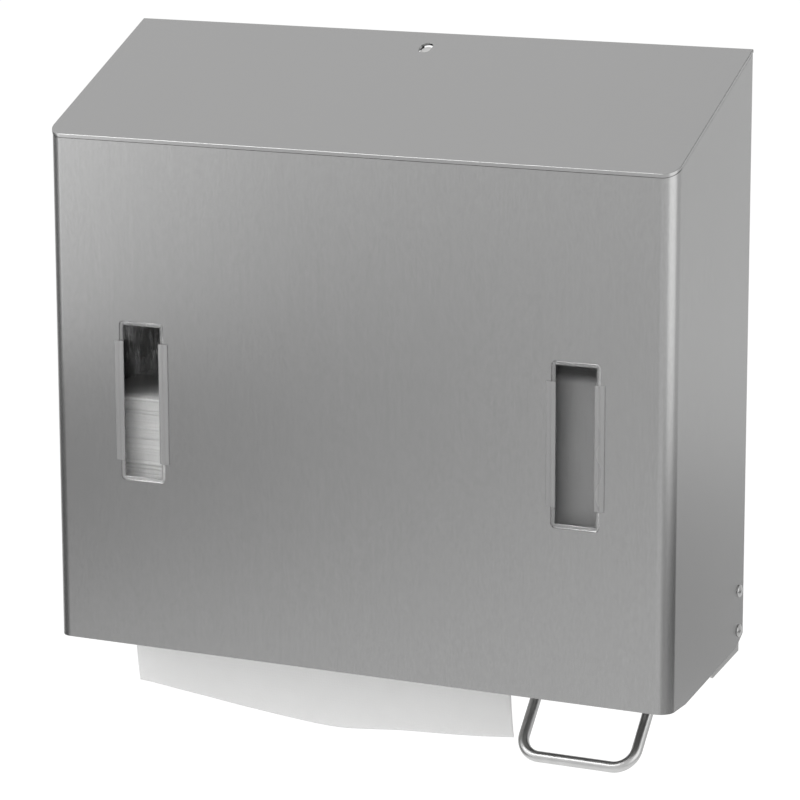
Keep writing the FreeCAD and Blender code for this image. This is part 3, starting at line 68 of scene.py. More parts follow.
def group(name, inputs, outputs):
    """An empty node group with named inputs and outputs, and its two end nodes."""
    tree = bpy.data.node_groups.new(name, "ShaderNodeTree")
    for label, kind, value in inputs:
        socket = tree.interface.new_socket(label, in_out="INPUT", socket_type=kind)
        socket.default_value = value
    for label, kind in outputs:
        tree.interface.new_socket(label, in_out="OUTPUT", socket_type=kind)
    return tree, tree.nodes.new("NodeGroupInput"), tree.nodes.new("NodeGroupOutput")


def wire(tree, *pairs):
    """Links each pair of an output socket and an input socket."""
    for start, end in pairs:
        tree.links.new(start, end)


def maths(tree, operation, a, b):
    """A Math node on two sockets or numbers, as its output socket."""
    made = tree.nodes.new("ShaderNodeMath")
    made.operation = operation
    for slot, value in zip(made.inputs, (a, b)):
        if isinstance(value, (int, float)):
            slot.default_value = value
        else:
            tree.links.new(value, slot)
    return made.outputs[0]


def noise(tree, vector, scale, detail=2.0, roughness=0.5):
    """A noise texture on a vector, as its value socket."""
    made = tree.nodes.new("ShaderNodeTexNoise")
    made.inputs["Scale"].default_value = scale
    made.inputs["Detail"].default_value = detail
    made.inputs["Roughness"].default_value = roughness
    tree.links.new(vector, made.inputs["Vector"])
    return made.outputs["Fac"]


def stretched(tree, vector, stretch):
    """A vector scaled along each axis, as its output socket."""
    made = tree.nodes.new("ShaderNodeMapping")
    made.inputs["Scale"].default_value = stretch
    tree.links.new(vector, made.inputs["Vector"])
    return made.outputs["Vector"]


def ramp(tree, value, low, high, out_low=0.0, out_high=1.0):
    """A smooth step of a value from low to high, as its output socket."""
    made = tree.nodes.new("ShaderNodeMapRange")
    made.interpolation_type = "SMOOTHSTEP"
    for label, number in (("From Min", low), ("From Max", high), ("To Min", out_low), ("To Max", out_high)):
        made.inputs[label].default_value = number
    tree.links.new(value, made.inputs["Value"])
    return made.outputs["Result"]


def brushing_group():
    """Short scratches of a belt along Z: fine noise and noise drawn out along the belt, with a faint
    unevenness of the whole sheet."""
    tree, start, end = group(
        "belt_brushing",
        [("Vector", "NodeSocketVector", (0, 0, 0)), ("Depth", "NodeSocketFloat", 1.0)],
        [("Shade", "NodeSocketFloat"), ("Height", "NodeSocketFloat"), ("Dullness", "NodeSocketFloat")],
    )
    vector = start.outputs["Vector"]
    fine = noise(tree, stretched(tree, vector, (950, 950, 320)), 1.0, 2.0, 0.6)
    long = noise(tree, stretched(tree, vector, (1500, 1500, 14)), 1.0, 3.0, 0.7)
    patch = noise(tree, stretched(tree, vector, (14, 14, 9)), 1.0, 3.0, 0.55)
    scratch = maths(tree, "ADD", maths(tree, "MULTIPLY", fine, 0.65), maths(tree, "MULTIPLY", long, 0.35))
    centred = maths(tree, "MULTIPLY", maths(tree, "SUBTRACT", scratch, 0.5), start.outputs["Depth"])
    shade = maths(tree, "ADD", maths(tree, "MULTIPLY", maths(tree, "SUBTRACT", patch, 0.5), 0.02), centred)
    wire(
        tree,
        (maths(tree, "ADD", shade, 1.0), end.inputs["Shade"]),
        (centred, end.inputs["Height"]),
        (ramp(tree, patch, 0.3, 0.7, -0.004, 0.004), end.inputs["Dullness"]),
    )
    return tree


brushing = brushing_group()


def fresh_material(name):
    """A new node material, its tree, its Principled shader and its Object coordinates."""
    made = bpy.data.materials.new(name)
    made.use_nodes = True
    tree = made.node_tree
    shader = tree.nodes["Principled BSDF"]
    place = tree.nodes.new("ShaderNodeTexCoord").outputs["Object"]
    return made, tree, shader, place


def tinted(tree, colour, factor):
    """A colour multiplied by a value that changes over the surface, as its output socket."""
    made = tree.nodes.new("ShaderNodeMix")
    made.data_type = "RGBA"
    made.blend_type = "MULTIPLY"
    made.inputs[0].default_value = 1.0
    made.inputs[6].default_value = (*colour, 1.0)
    tree.links.new(factor, made.inputs[7])
    return made.outputs[2]


def bumped(tree, height, distance):
    """A Bump node on a height, as its normal socket."""
    made = tree.nodes.new("ShaderNodeBump")
    made.inputs["Distance"].default_value = distance
    tree.links.new(height, made.inputs["Height"])
    return made.outputs["Normal"]


def brushed_steel(name, colour, roughness, grain, anisotropy, turn=0.0, axis="Z"):
    """Belt-brushed stainless steel, with the belt along Z, or along Z turned about X by an angle."""
    made, tree, shader, place = fresh_material(name)
    turned = tree.nodes.new("ShaderNodeMapping")
    turned.inputs["Rotation"].default_value = (turn, 0, 0)
    belt = tree.nodes.new("ShaderNodeGroup")
    belt.node_tree = brushing
    belt.inputs["Depth"].default_value = grain
    tangent = tree.nodes.new("ShaderNodeTangent")
    tangent.direction_type = "RADIAL"
    tangent.axis = axis
    shader.inputs["Metallic"].default_value = 1.0
    shader.inputs["Anisotropic"].default_value = anisotropy
    shader.inputs["Anisotropic Rotation"].default_value = 0.25 if axis == "X" else 0.0
    wire(
        tree,
        (place, turned.inputs["Vector"]),
        (turned.outputs["Vector"], belt.inputs["Vector"]),
        (tinted(tree, colour, belt.outputs["Shade"]), shader.inputs["Base Color"]),
        (maths(tree, "ADD", belt.outputs["Dullness"], roughness), shader.inputs["Roughness"]),
        (bumped(tree, belt.outputs["Height"], 0.00001), shader.inputs["Normal"]),
        (tangent.outputs["Tangent"], shader.inputs["Tangent"]),
    )
    return made


def mesh_object(name, points, faces, material, apart=1e-7):
    """A smooth mesh object from an array of points and a list of faces, with equal points merged."""
    mesh = bpy.data.meshes.new(name)
    mesh.from_pydata(points.tolist(), [], faces.tolist() if hasattr(faces, "tolist") else faces)
    tool = bmesh.new()
    tool.from_mesh(mesh)
    bmesh.ops.remove_doubles(tool, verts=tool.verts, dist=apart)
    bmesh.ops.dissolve_degenerate(tool, edges=tool.edges, dist=apart)
    bmesh.ops.recalc_face_normals(tool, faces=tool.faces)
    for face in tool.faces:
        face.smooth = True
    tool.to_mesh(mesh)
    tool.free()
    made = bpy.data.objects.new(name, mesh)
    bpy.context.scene.collection.objects.link(made)
    made.data.materials.append(material)
    return made


def broken_edges(made, width, segments=2, angle=0.6):
    """Marks edges sharper than an angle, bevels them by a small width, and keeps flat faces flat in the
    light."""
    tool = bmesh.new()
    tool.from_mesh(made.data)
    bmesh.ops.dissolve_limit(tool, angle_limit=0.002, verts=tool.verts, edges=tool.edges)
    for edge in tool.edges:
        edge.smooth = edge.calc_face_angle(0.0) < angle
    tool.to_mesh(made.data)
    tool.free()
    bevel = made.modifiers.new("broken_edges", "BEVEL")
    bevel.width = width
    bevel.segments = segments
    bevel.limit_method = "ANGLE"
    bevel.angle_limit = angle
    flat = made.modifiers.new("flat_faces", "WEIGHTED_NORMAL")
    flat.keep_sharp = True
    return made


def placed(made, body, slot, *cad):
    """Puts a piece on its body and hides the CAD pieces it stands for. The slot is not used."""
    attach(made, body)
    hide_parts(*cad)
    return made


def edged_copy(cad, material, body, slot, width=0.15 * MM):
    """A copy of a CAD piece with its loose triangles merged and its sharp edges broken, in its place."""
    source = node[cad].data
    points = np.array([vertex.co[:] for vertex in source.vertices])
    faces = [tuple(face.vertices) for face in source.polygons]
    made = mesh_object(cad + "_finished", points, faces, material, 1e-6)
    broken_edges(made, width)
    return placed(made, body, slot, cad)


mill_steel = brushed_steel("mill_steel", (0.36, 0.36, 0.355), 0.40, grain=0.05, anisotropy=0.2)
edged_copy("back_plate", mill_steel, "chassis", "chassis_steel")


# Partition and towel tray. Two bent sheets of the same steel, welded inside the back plate.
# The tray's floor has the long throat that the towels come out of, with its edges turned down.

edged_copy("partition_plate", mill_steel, "chassis", "chassis_steel")
edged_copy("towel_tray", mill_steel, "chassis", "chassis_steel")


# Towel stack. Folded paper towels lie flat on the tray, each folded round its neighbours. Their folds show
# in front as soft rounded edges that never line up quite, with a few gaps where a bundle ends.

# Heights are counted up from the lower edge of the front panel, which is 0.25 m below the origin.
FRONT_EDGE_Z = -0.25
STACK_LEFT, STACK_RIGHT = -0.165, 0.0674
STACK_FRONT, STACK_REAR = -0.099, -0.003
STACK_LOW, STACK_HIGH = FRONT_EDGE_Z + 0.0143, FRONT_EDGE_Z + 0.137
SEAM_FRONT, SEAM_REAR, SEAM_TOP = -0.0521, -0.0499, FRONT_EDGE_Z + 0.0589
GAPS = FRONT_EDGE_Z + np.array([135.0, 130.0, 127.8, 119.1, 114.3, 99.4, 97.0, 71.0, 52.0, 33.0]) * MM
GAP_DEPTH, FOLD_DEPTHS = 2.6, (0.3, 1.1)
LAYERS, THINNEST_LAYER, THINNEST_SLICE = 70, 0.7 * MM, 0.4 * MM
# A greyer white than the hanging towel's PAPER_WHITE for the same paper: painted shade of the casing's dark
# inside.
STACK_WHITE_PAINTED_SHADE = (0.68, 0.68, 0.675)


def grid_quads(rows, columns, closed_columns=False):
    """The quads of a grid of points, numbered row by row. A closed grid joins its last column to its
    first."""
    r = np.arange(rows - 1)[:, None]
    c = np.arange(columns if closed_columns else columns - 1)[None, :]
    a = r * columns + c
    b = r * columns + (c + 1) % columns
    return np.stack([a, b, b + columns, a + columns], -1).reshape(-1, 4)


def capped_tube(name, rings, material):
    """A closed skin through rings of points (ring, point, xyz), with both end rings drawn in to their
    middles."""
    ends = [np.broadcast_to(ring.mean(0), ring.shape)[None] for ring in (rings[0], rings[-1])]
    rings = np.concatenate([ends[0], rings, ends[1]])
    quads = grid_quads(len(rings), rings.shape[1], closed_columns=True)
    return mesh_object(name, rings.reshape(-1, 3), quads, material)


chance = np.random.default_rng(11)
fold_edges = np.sort(np.concatenate([
    GAPS,
    np.linspace(STACK_LOW, STACK_HIGH, LAYERS) + chance.uniform(-0.35, 0.35, LAYERS) * MM,
    [SEAM_TOP],
]))
fold_edges[0], fold_edges[-1] = STACK_LOW, STACK_HIGH
fold_edges = fold_edges[np.concatenate([[True], np.diff(fold_edges) > THINNEST_LAYER])]
fold_edges[-1] = STACK_HIGH
FOLDS = len(fold_edges) - 1
nearest_gap = np.abs(fold_edges[:, None] - GAPS[None, :]).min(1)
fold_depth = np.where(nearest_gap < 0.8 * MM, GAP_DEPTH, chance.uniform(*FOLD_DEPTHS, FOLDS + 1)) * MM
fold_reach = chance.uniform(-0.7, 0.0, FOLDS) * MM
fold_slope = chance.uniform(-0.6, 0.6, FOLDS) * MM


def towel_block(name, front, rear, low, high, material):
    """Layers of folded paper. Round the outline, each layer stands out between two grooves whose depth is the
    fold's own, shifted in or out by a random amount that changes slowly along X."""
    along, across = 64, 12
    x = np.linspace(STACK_LEFT, STACK_RIGHT, along)
    y = np.linspace(front, rear, across)
    outline = np.concatenate([
        np.stack([x, np.full(along, front)], 1),
        np.stack([np.full(across - 2, STACK_RIGHT), y[1:-1]], 1),
        np.stack([x[::-1], np.full(along, rear)], 1),
        np.stack([np.full(across - 2, STACK_LEFT), y[1:-1][::-1]], 1),
    ])
    to_front = (outline[:, 1] <= front + 1e-9).astype(float)
    to_rear = (outline[:, 1] >= rear - 1e-9).astype(float)
    to_left = (outline[:, 0] <= STACK_LEFT + 1e-9) * (1 - to_front) * (1 - to_rear)
    to_right = (outline[:, 0] >= STACK_RIGHT - 1e-9) * (1 - to_front) * (1 - to_rear)
    share = (outline[:, 0] - STACK_LEFT) / (STACK_RIGHT - STACK_LEFT)
    rings = []
    for n in range(FOLDS):
        bottom, top = fold_edges[n], fold_edges[n + 1]
        if top < low + THINNEST_SLICE or bottom > high - THINNEST_SLICE:
            continue
        bottom, top = max(bottom, low), min(top, high)
        wave = fold_reach[n] + fold_slope[n] * (share - 0.5) + 0.2 * MM * np.sin(11 * share + 5 * n)
        wave = np.minimum(wave, 0.0)
        for t in np.linspace(0.0, math.pi, 6):
            rise = (1 - math.cos(t)) / 2
            depth = fold_depth[n] + (fold_depth[n + 1] - fold_depth[n]) * rise
            inward = -wave + depth * (1 - math.sin(t) ** 0.6)
            ring = np.zeros((len(outline), 3))
            ring[:, 0] = outline[:, 0] + (to_left - to_right) * (0.5 * inward + 0.2 * MM)
            ring[:, 1] = outline[:, 1] + (to_front - to_rear) * inward
            ring[:, 2] = bottom + (top - bottom) * rise
            rings.append(ring)
    return capped_tube(name, np.array(rings), material)


def paper_group():
    """Soft paper: a field of pressed dimples, fibres in every direction, and faint cloudiness."""
    tree, start, end = group(
        "soft_paper",
        [("Vector", "NodeSocketVector", (0, 0, 0)), ("Dimple", "NodeSocketFloat", 1.0)],
        [("Shade", "NodeSocketFloat"), ("Height", "NodeSocketFloat")],
    )
    vector = start.outputs["Vector"]
    dimples = tree.nodes.new("ShaderNodeTexVoronoi")
    dimples.inputs["Scale"].default_value = 620.0
    dimples.inputs["Randomness"].default_value = 0.35
    fibres = noise(tree, vector, 2600.0, 3.0, 0.7)
    clouds = noise(tree, vector, 55.0, 3.0, 0.6)
    pressed = ramp(tree, dimples.outputs["Distance"], 0.10, 0.55)
    height = maths(tree, "ADD", maths(tree, "MULTIPLY", pressed, start.outputs["Dimple"]),
                   maths(tree, "MULTIPLY", fibres, 0.5))
    shade = maths(tree, "ADD", maths(tree, "MULTIPLY", clouds, 0.05), maths(tree, "MULTIPLY", fibres, 0.04))
    wire(
        tree,
        (vector, dimples.inputs["Vector"]),
        (maths(tree, "ADD", shade, 0.955), end.inputs["Shade"]),
        (height, end.inputs["Height"]),
    )
    return tree


soft_paper = paper_group()


def paper(name, colour, dimple, relief):
    """White towel paper, matt, with a soft sheen from its loose fibres."""
    made, tree, shader, place = fresh_material(name)
    texture = tree.nodes.new("ShaderNodeGroup")
    texture.node_tree = soft_paper
    texture.inputs["Dimple"].default_value = dimple
    shader.inputs["Roughness"].default_value = 0.92
    shader.inputs["Specular IOR Level"].default_value = 0.25
    shader.inputs["Sheen Weight"].default_value = 0.15
    wire(
        tree,
        (place, texture.inputs["Vector"]),
        (tinted(tree, colour, texture.outputs["Shade"]), shader.inputs["Base Color"]),
        (bumped(tree, texture.outputs["Height"], relief), shader.inputs["Normal"]),
    )
    return made


# The stack's paper is a greyer copy of the towel paper, which paints the shade inside the casing.
stack_paper_painted_shade = paper("stack_paper_painted_shade", STACK_WHITE_PAINTED_SHADE, 0.5, 0.00006)
for name, front, rear, low, high in (
    ("folded_towels_front", STACK_FRONT, SEAM_FRONT, STACK_LOW, SEAM_TOP),
    ("folded_towels_rear", SEAM_REAR, STACK_REAR, STACK_LOW, SEAM_TOP),
    ("folded_towels_upper", STACK_FRONT, STACK_REAR, SEAM_TOP, STACK_HIGH),
):
    part = towel_block(name, front, rear, low, high, stack_paper_painted_shade)
    placed(part, "chassis", "paper", "towel_stack")


# Next towel. A single towel of two plies hangs out of the throat and curls back towards the wall.
# Its free edge is bowed, lowest a little right of its middle, and it is pulled out from the seam of the stack.

SHEET_RISE = 0.0583
SHEET_Y = -0.051
CURL = 0.2
HEM_X = np.array([
    0.0, 3.2, 15.3, 31.5, 43.2, 63.1, 84.0, 102.1, 116.0, 129.0, 145.0, 162.6, 191.4, 212.1, 232.4,
]) * MM
HEM_DROP = np.array([
    40.2, 40.3, 41.8, 43.8, 45.1, 47.8, 50.0, 51.7, 52.7, 52.8, 51.2, 49.3, 47.6, 46.1, 43.9,
]) * MM
PAPER_WHITE = (0.82, 0.82, 0.815)


def next_towel(material):
    """Straight down to the height of the front panel's edge, then along a circle of radius CURL towards the
    wall. The free edge follows the bow, and slow waves of up to 0.3 mm run along the sheet."""
    columns, rows = 150, 74
    x = np.linspace(0, STACK_RIGHT - STACK_LEFT, columns)
    bow = np.interp(x, HEM_X, HEM_DROP)
    smooth = np.ones(9) / 9
    bow = np.convolve(np.pad(bow, 4, mode="reflect", reflect_type="odd"), smooth, mode="valid")
    t = np.linspace(0, 1, rows)[:, None]
    drop = t * (bow[None, :] + SHEET_RISE) - SHEET_RISE
    below = np.clip(drop, 0, None)
    y = SHEET_Y + CURL - np.sqrt(CURL ** 2 - below ** 2)
    share = x[None, :] / x.max()
    free = np.clip(below / 0.05, 0, 1) ** 1.5
    y = y + free * (0.22 * np.sin(7.0 * share + 0.6) + 0.12 * np.sin(17.0 * share + 2.0)) * MM
    points = np.stack([np.broadcast_to(STACK_LEFT + x, drop.shape), y, FRONT_EDGE_Z - drop], -1)
    made = mesh_object("next_towel", points.reshape(-1, 3), grid_quads(rows, columns), material)
    thick = made.modifiers.new("plies", "SOLIDIFY")
    thick.thickness = 0.35 * MM
    thick.offset = 0.0
    return made, points


sheet_paper = paper("sheet_paper", PAPER_WHITE, 0.7, 0.00005)
towel, towel_points = next_towel(sheet_paper)
placed(towel, "towel", "paper", "towel_sheet")


# Soap bracket. One bent sheet screwed to the back plate: a shelf under the tank and two ears down to the
# axle. Pan head screws with a cross recess hold it.

def painted(nodes, material):
    """Gives a material to CAD nodes that stay as they are."""
    for name in nodes:
        slots = node[name].data.materials
        slots.clear()
        slots.append(material)


def bright_metal(name, colour, roughness, relief=0.000006):
    """Drawn or turned steel with faint marks in every direction."""
    made, tree, shader, place = fresh_material(name)
    marks = noise(tree, place, 900.0, 3.0, 0.6)
    dull = noise(tree, place, 120.0, 2.0, 0.5)
    shader.inputs["Metallic"].default_value = 1.0
    wire(
        tree,
        (tinted(tree, colour, ramp(tree, dull, 0.2, 0.8, 0.93, 1.05)), shader.inputs["Base Color"]),
        (ramp(tree, marks, 0.2, 0.8, roughness - 0.03, roughness + 0.05), shader.inputs["Roughness"]),
        (bumped(tree, marks, relief), shader.inputs["Normal"]),
    )
    return made


edged_copy("soap_bracket", mill_steel, "chassis", "chassis_steel")
screw_steel = bright_metal("screw_steel", (0.55, 0.55, 0.54), 0.25)
painted(["bracket_screws"], screw_steel)


# Soap tank and lid. The tank is blow-moulded in translucent grey plastic, with a wide neck and a hinged lid.
# A rubber ring in its floor seals it on the pump.

def moulded(name, colour, roughness, transmission=0.0):
    """Moulded plastic: an even colour with faint flow marks and a fine texture from the mould."""
    made, tree, shader, place = fresh_material(name)
    flow = noise(tree, stretched(tree, place, (22, 22, 9)), 1.0, 3.0, 0.6)
    mould = noise(tree, place, 1500.0, 2.0, 0.6)
    shader.inputs["Transmission Weight"].default_value = transmission
    wire(
        tree,
        (tinted(tree, colour, ramp(tree, flow, 0.25, 0.75, 0.94, 1.05)), shader.inputs["Base Color"]),
        (ramp(tree, flow, 0.2, 0.8, roughness - 0.04, roughness + 0.04), shader.inputs["Roughness"]),
        (bumped(tree, mould, 0.00002), shader.inputs["Normal"]),
    )
    return made


tank_plastic = moulded("tank_plastic", (0.24, 0.24, 0.24), 0.38)
black_plastic = moulded("black_plastic", (0.018, 0.018, 0.019), 0.42)
white_plastic = moulded("white_plastic", (0.78, 0.78, 0.77), 0.32)
seal_rubber = moulded("seal_rubber", (0.02, 0.02, 0.02), 0.7)
painted(["soap_tank"], tank_plastic)
edged_copy("tank_lid", black_plastic, "lid", "dark_plastic", 0.3 * MM)
painted(["tank_grommet"], seal_rubber)
painted(["lid_pin"], screw_steel)


# Pump. A white cylinder clamped under the shelf, with a plug below that guides the piston's hollow stem.
# The spring winds round the stem between the plug and the piston's collar.

PUMP_X, PUMP_Y = 0.11815, -0.030
PUMP_SPRING_LOW, PUMP_SPRING_HIGH = FRONT_EDGE_Z + 0.0108, FRONT_EDGE_Z + 0.027
SPRING_RADIUS, SPRING_WIRE, SPRING_TURNS, SPRING_PLAY = 7.5 * MM, 0.6 * MM, 4.5, 0.3 * MM


def swept_tube(name, path, side, radius, material, around=24):
    """A round wire along a path. Each ring stands square to the path, and its points go round from a side
    direction given at each point: radius times the cosine along it and the sine square to it and the path."""
    ahead = np.gradient(path, axis=0)
    ahead /= np.linalg.norm(ahead, axis=1)[:, None]
    side = side - (side * ahead).sum(1)[:, None] * ahead
    side /= np.linalg.norm(side, axis=1)[:, None]
    square = np.cross(ahead, side)
    turn = np.linspace(0, 2 * math.pi, around, endpoint=False)
    rings = path[:, None] + radius * (
        np.cos(turn)[None, :, None] * side[:, None] + np.sin(turn)[None, :, None] * square[:, None]
    )
    return capped_tube(name, rings, material)


def coil(name, x, y, low, high, radius, wire_radius, turns, material):
    """A wire wound about an upright axis. It rises evenly, apart from its first and last three quarters of a
    turn, which lie almost flat as the closed ends of a pressure spring do."""
    t = np.linspace(0, turns, int(turns * 32))
    lift = np.clip((t - 0.75) / (turns - 1.5), 0, 1)
    z = low + wire_radius + (high - low - 2 * wire_radius) * (0.94 * lift + 0.06 * t / turns)
    angle = 2 * math.pi * t
    out = np.stack([np.cos(angle), np.sin(angle), 0 * angle], 1)
    path = np.array([x, y, 0]) + radius * out
    path[:, 2] = z
    return swept_tube(name, path, out, wire_radius, material, 14)


painted(["pump_body", "pump_cap", "pump_piston"], white_plastic)
painted(["inlet_valve", "outlet_valve", "piston_seal"], seal_rubber)
painted(["pump_screws"], screw_steel)
spring_steel = bright_metal("spring_steel", (0.48, 0.48, 0.48), 0.22)
pump_coil = coil(
    "pump_coil", PUMP_X, PUMP_Y, PUMP_SPRING_LOW + SPRING_PLAY, PUMP_SPRING_HIGH - SPRING_PLAY,
    SPRING_RADIUS, SPRING_WIRE, SPRING_TURNS, spring_steel,
)
placed(pump_coil, "chassis", "spring_steel", "pump_spring")
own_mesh(pump_coil)


# Lever. A round stainless wire bent to a U, with a satin finish and both ends pushed into a black moulded
# rocker. Each leg has a knee that leans the loop forwards. The rocker turns on a steel axle, kept by a clip at
# each end.

AXLE = np.array([0.11815, -0.0555, FRONT_EDGE_Z + 0.005])
LEVER_HALF, LEVER_BEND, LEVER_REACH = 32.3 * MM, 11.5 * MM, 38.3 * MM
LEVER_START, LEVER_ROOT, LEVER_KNEE = 3.7 * MM, 17.3 * MM, 6.0 * MM
LEVER_LEAN = math.radians(42.4)
LEVER_WIRE = 3 * MM


def lever_path():
    """Straight down one leg, round its knee, down the leaning part, a quarter circle, along the bar, and back
    up the same way. Gives the points, and at each one the direction square to the path in its own plane."""
    tangent = LEVER_KNEE * math.tan(LEVER_LEAN / 2)
    down = np.linspace(LEVER_START, LEVER_ROOT - tangent, 5, endpoint=False)
    root = np.stack([0 * down, -down], 1)
    t = np.linspace(0, LEVER_LEAN, 9)
    knee = np.stack([LEVER_KNEE * (np.cos(t) - 1), -LEVER_ROOT + tangent - LEVER_KNEE * np.sin(t)], 1)
    lean = np.array([-math.sin(LEVER_LEAN), -math.cos(LEVER_LEAN)])
    along = np.linspace(tangent, LEVER_REACH - LEVER_BEND, 8)[1:-1, None]
    turn = np.linspace(0, math.pi / 2, 26)
    reach = (LEVER_REACH - LEVER_BEND + LEVER_BEND * np.sin(turn))[:, None]
    side = np.concatenate([root, knee, (0, -LEVER_ROOT) + along * lean, (0, -LEVER_ROOT) + reach * lean])
    tilt = np.concatenate([np.zeros(5), t, np.full(32, LEVER_LEAN)])
    x = np.concatenate([np.full(20, -LEVER_HALF), LEVER_BEND - LEVER_HALF - LEVER_BEND * np.cos(turn)])
    leg = np.concatenate([x[:, None], side], 1)
    bar = np.repeat(leg[-1:], 10, 0)
    bar[:, 0] = np.linspace(x[-1], -x[-1], 12)[1:-1]
    tilt = np.concatenate([tilt, np.full(10, LEVER_LEAN), tilt[::-1]])
    points = AXLE + np.concatenate([leg, bar, leg[::-1] * (-1, 1, 1)])
    return points, np.stack([0 * tilt, -np.cos(tilt), np.sin(tilt)], 1)


wire_path, facing = lever_path()
satin_wire = bright_metal("satin_wire", (0.46, 0.46, 0.457), 0.33, 0.000001)
bent_wire = swept_tube("bent_wire", wire_path, facing, LEVER_WIRE, satin_wire, 40)
placed(bent_wire, "lever", "bright_steel", "lever_bar")
painted(["lever_axle", "axle_clips"], satin_wire)
edged_copy("lever_rocker", black_plastic, "lever", "dark_plastic", 0.3 * MM)


# Latch. A white plastic bolt under the key hole slides in a black housing, pushed up by a spring.
# The key pushes its button down, and its tooth lets go of the strip under the top plate.

edged_copy("latch_housing", black_plastic, "chassis", "dark_plastic", 0.3 * MM)
natural_nylon = moulded("natural_nylon", (0.40, 0.40, 0.395), 0.45)
edged_copy("latch_bolt", natural_nylon, "latch", "white_plastic", 0.25 * MM)
painted(["latch_spring"], spring_steel)
painted(["latch_screws"], screw_steel)


# Cover. One sheet bent round the two front corners, brushed from top to bottom, with a sloping top welded on.
# The weld is ground flush, and the top's rounded edge stands over a thin dark seam.

front_steel = brushed_steel("front_steel", (0.347, 0.347, 0.346), 0.268, grain=0.30, anisotropy=0.76)
edged_copy("cover_shell", front_steel, "cover", "brushed_casing", 0.18 * MM)
top_steel = brushed_steel(
    "top_steel", (0.349, 0.349, 0.348), 0.268, grain=0.05, anisotropy=0.2, turn=math.radians(65), axis="X",
)
edged_copy("top_plate", top_steel, "cover", "brushed_casing", 0.45 * MM)
edged_copy("catch_bracket", mill_steel, "cover", "chassis_steel")


# Windows. A clear plastic pane lies behind the steel. A clear rim on it stands in the opening, level with the
# steel, and a milky rail on each side of the rim laps over the steel's edge.

WINDOW_Z, WINDOW_WIDTH, WINDOW_HEIGHT = FRONT_EDGE_Z + 0.13675, 27.2 * MM, 88.0 * MM
WINDOW_CORNER, RAIL_LENGTH = 2.5 * MM, 66.0 * MM
PANE_LAP = 3.75 * MM
FRONT_Y = -0.108
PANE_BODY = 0.32
STREAKS_FROM, STREAKS_FULL = WINDOW_Z + 0.010, WINDOW_Z + 0.030


def rounded_outline(width, height, corner, steps=7):
    """A rectangle with quarter circles at its corners, as X and Z about its middle."""
    turn = np.linspace(0, math.pi / 2, steps)
    arc = np.stack([np.cos(turn), np.sin(turn)], 1) * corner
    away = np.array([width / 2 - corner, height / 2 - corner])
    first = arc + away
    second = arc[::-1] * (-1, 1) + away * (-1, 1)
    return np.concatenate([first, second, -first, -second])


def clear_plastic(name, glare):
    """Clear moulded plastic with slow waves in its surface, drawn out along its height. Its body takes a share
    of the light, and the rest goes straight through it. Near its top the share rises in streaks of glare."""
    made, tree, shader, place = fresh_material(name)
    waves = noise(tree, stretched(tree, place, (190, 190, 48)), 1.0, 2.0, 0.5)
    streaks = noise(tree, stretched(tree, place, (150, 150, 34)), 1.0, 4.0, 0.55)
    height = tree.nodes.new("ShaderNodeSeparateXYZ")
    steep = maths(tree, "MULTIPLY", ramp(tree, streaks, 0.50, 0.53, 0.0, glare),
                  ramp(tree, height.outputs["Z"], STREAKS_FROM, STREAKS_FULL))
    shader.inputs["Base Color"].default_value = (0.92, 0.92, 0.92, 1.0)
    shader.inputs["Transmission Weight"].default_value = 1.0
    shader.inputs["IOR"].default_value = 1.5
    shader.inputs["Roughness"].default_value = 0.02
    wire(
        tree,
        (place, height.inputs["Vector"]),
        (bumped(tree, waves, 0.0006), shader.inputs["Normal"]),
        (maths(tree, "ADD", steep, PANE_BODY), shader.inputs["Alpha"]),
    )
    return made


def inset_rings(x, width, height, corner, steps):
    """Rounded rectangles about a window's middle, one for each pair of an inset and a Y."""
    rings = []
    for inset, y in steps:
        less, depth = 2 * inset * MM, y * MM
        flat = rounded_outline(width - less, height - less, max(corner - inset * MM, 0.4 * MM))
        rings.append(np.stack([x + flat[:, 0], np.full(len(flat), depth), WINDOW_Z + flat[:, 1]], 1))
    return np.array(rings)


def pane(name, x, material):
    """A flat plate that laps behind the steel all round, with its edges broken."""
    steps = ((0.1, -105.45), (0.0, -105.55), (0.0, -106.85), (0.1, -106.95))
    rings = inset_rings(x, WINDOW_WIDTH + 2 * PANE_LAP, WINDOW_HEIGHT + 2 * PANE_LAP, WINDOW_CORNER, steps)
    return broken_edges(capped_tube(name, rings, material), 0.03 * MM, 1)


def rim(name, x, material):
    """A closed loop 2.1 mm wide inside the opening, with its two front edges rounded."""
    steps = (
        (0.15, -106.90), (0.15, -107.60), (0.23, -107.82), (0.42, -107.95), (1.85, -107.95),
        (2.10, -107.82), (2.22, -107.55), (2.25, -106.90), (0.15, -106.90),
    )
    rings = inset_rings(x, WINDOW_WIDTH, WINDOW_HEIGHT, WINDOW_CORNER, steps)
    quads = grid_quads(len(rings), rings.shape[1], closed_columns=True)
    return mesh_object(name, rings.reshape(-1, 3), quads, material)


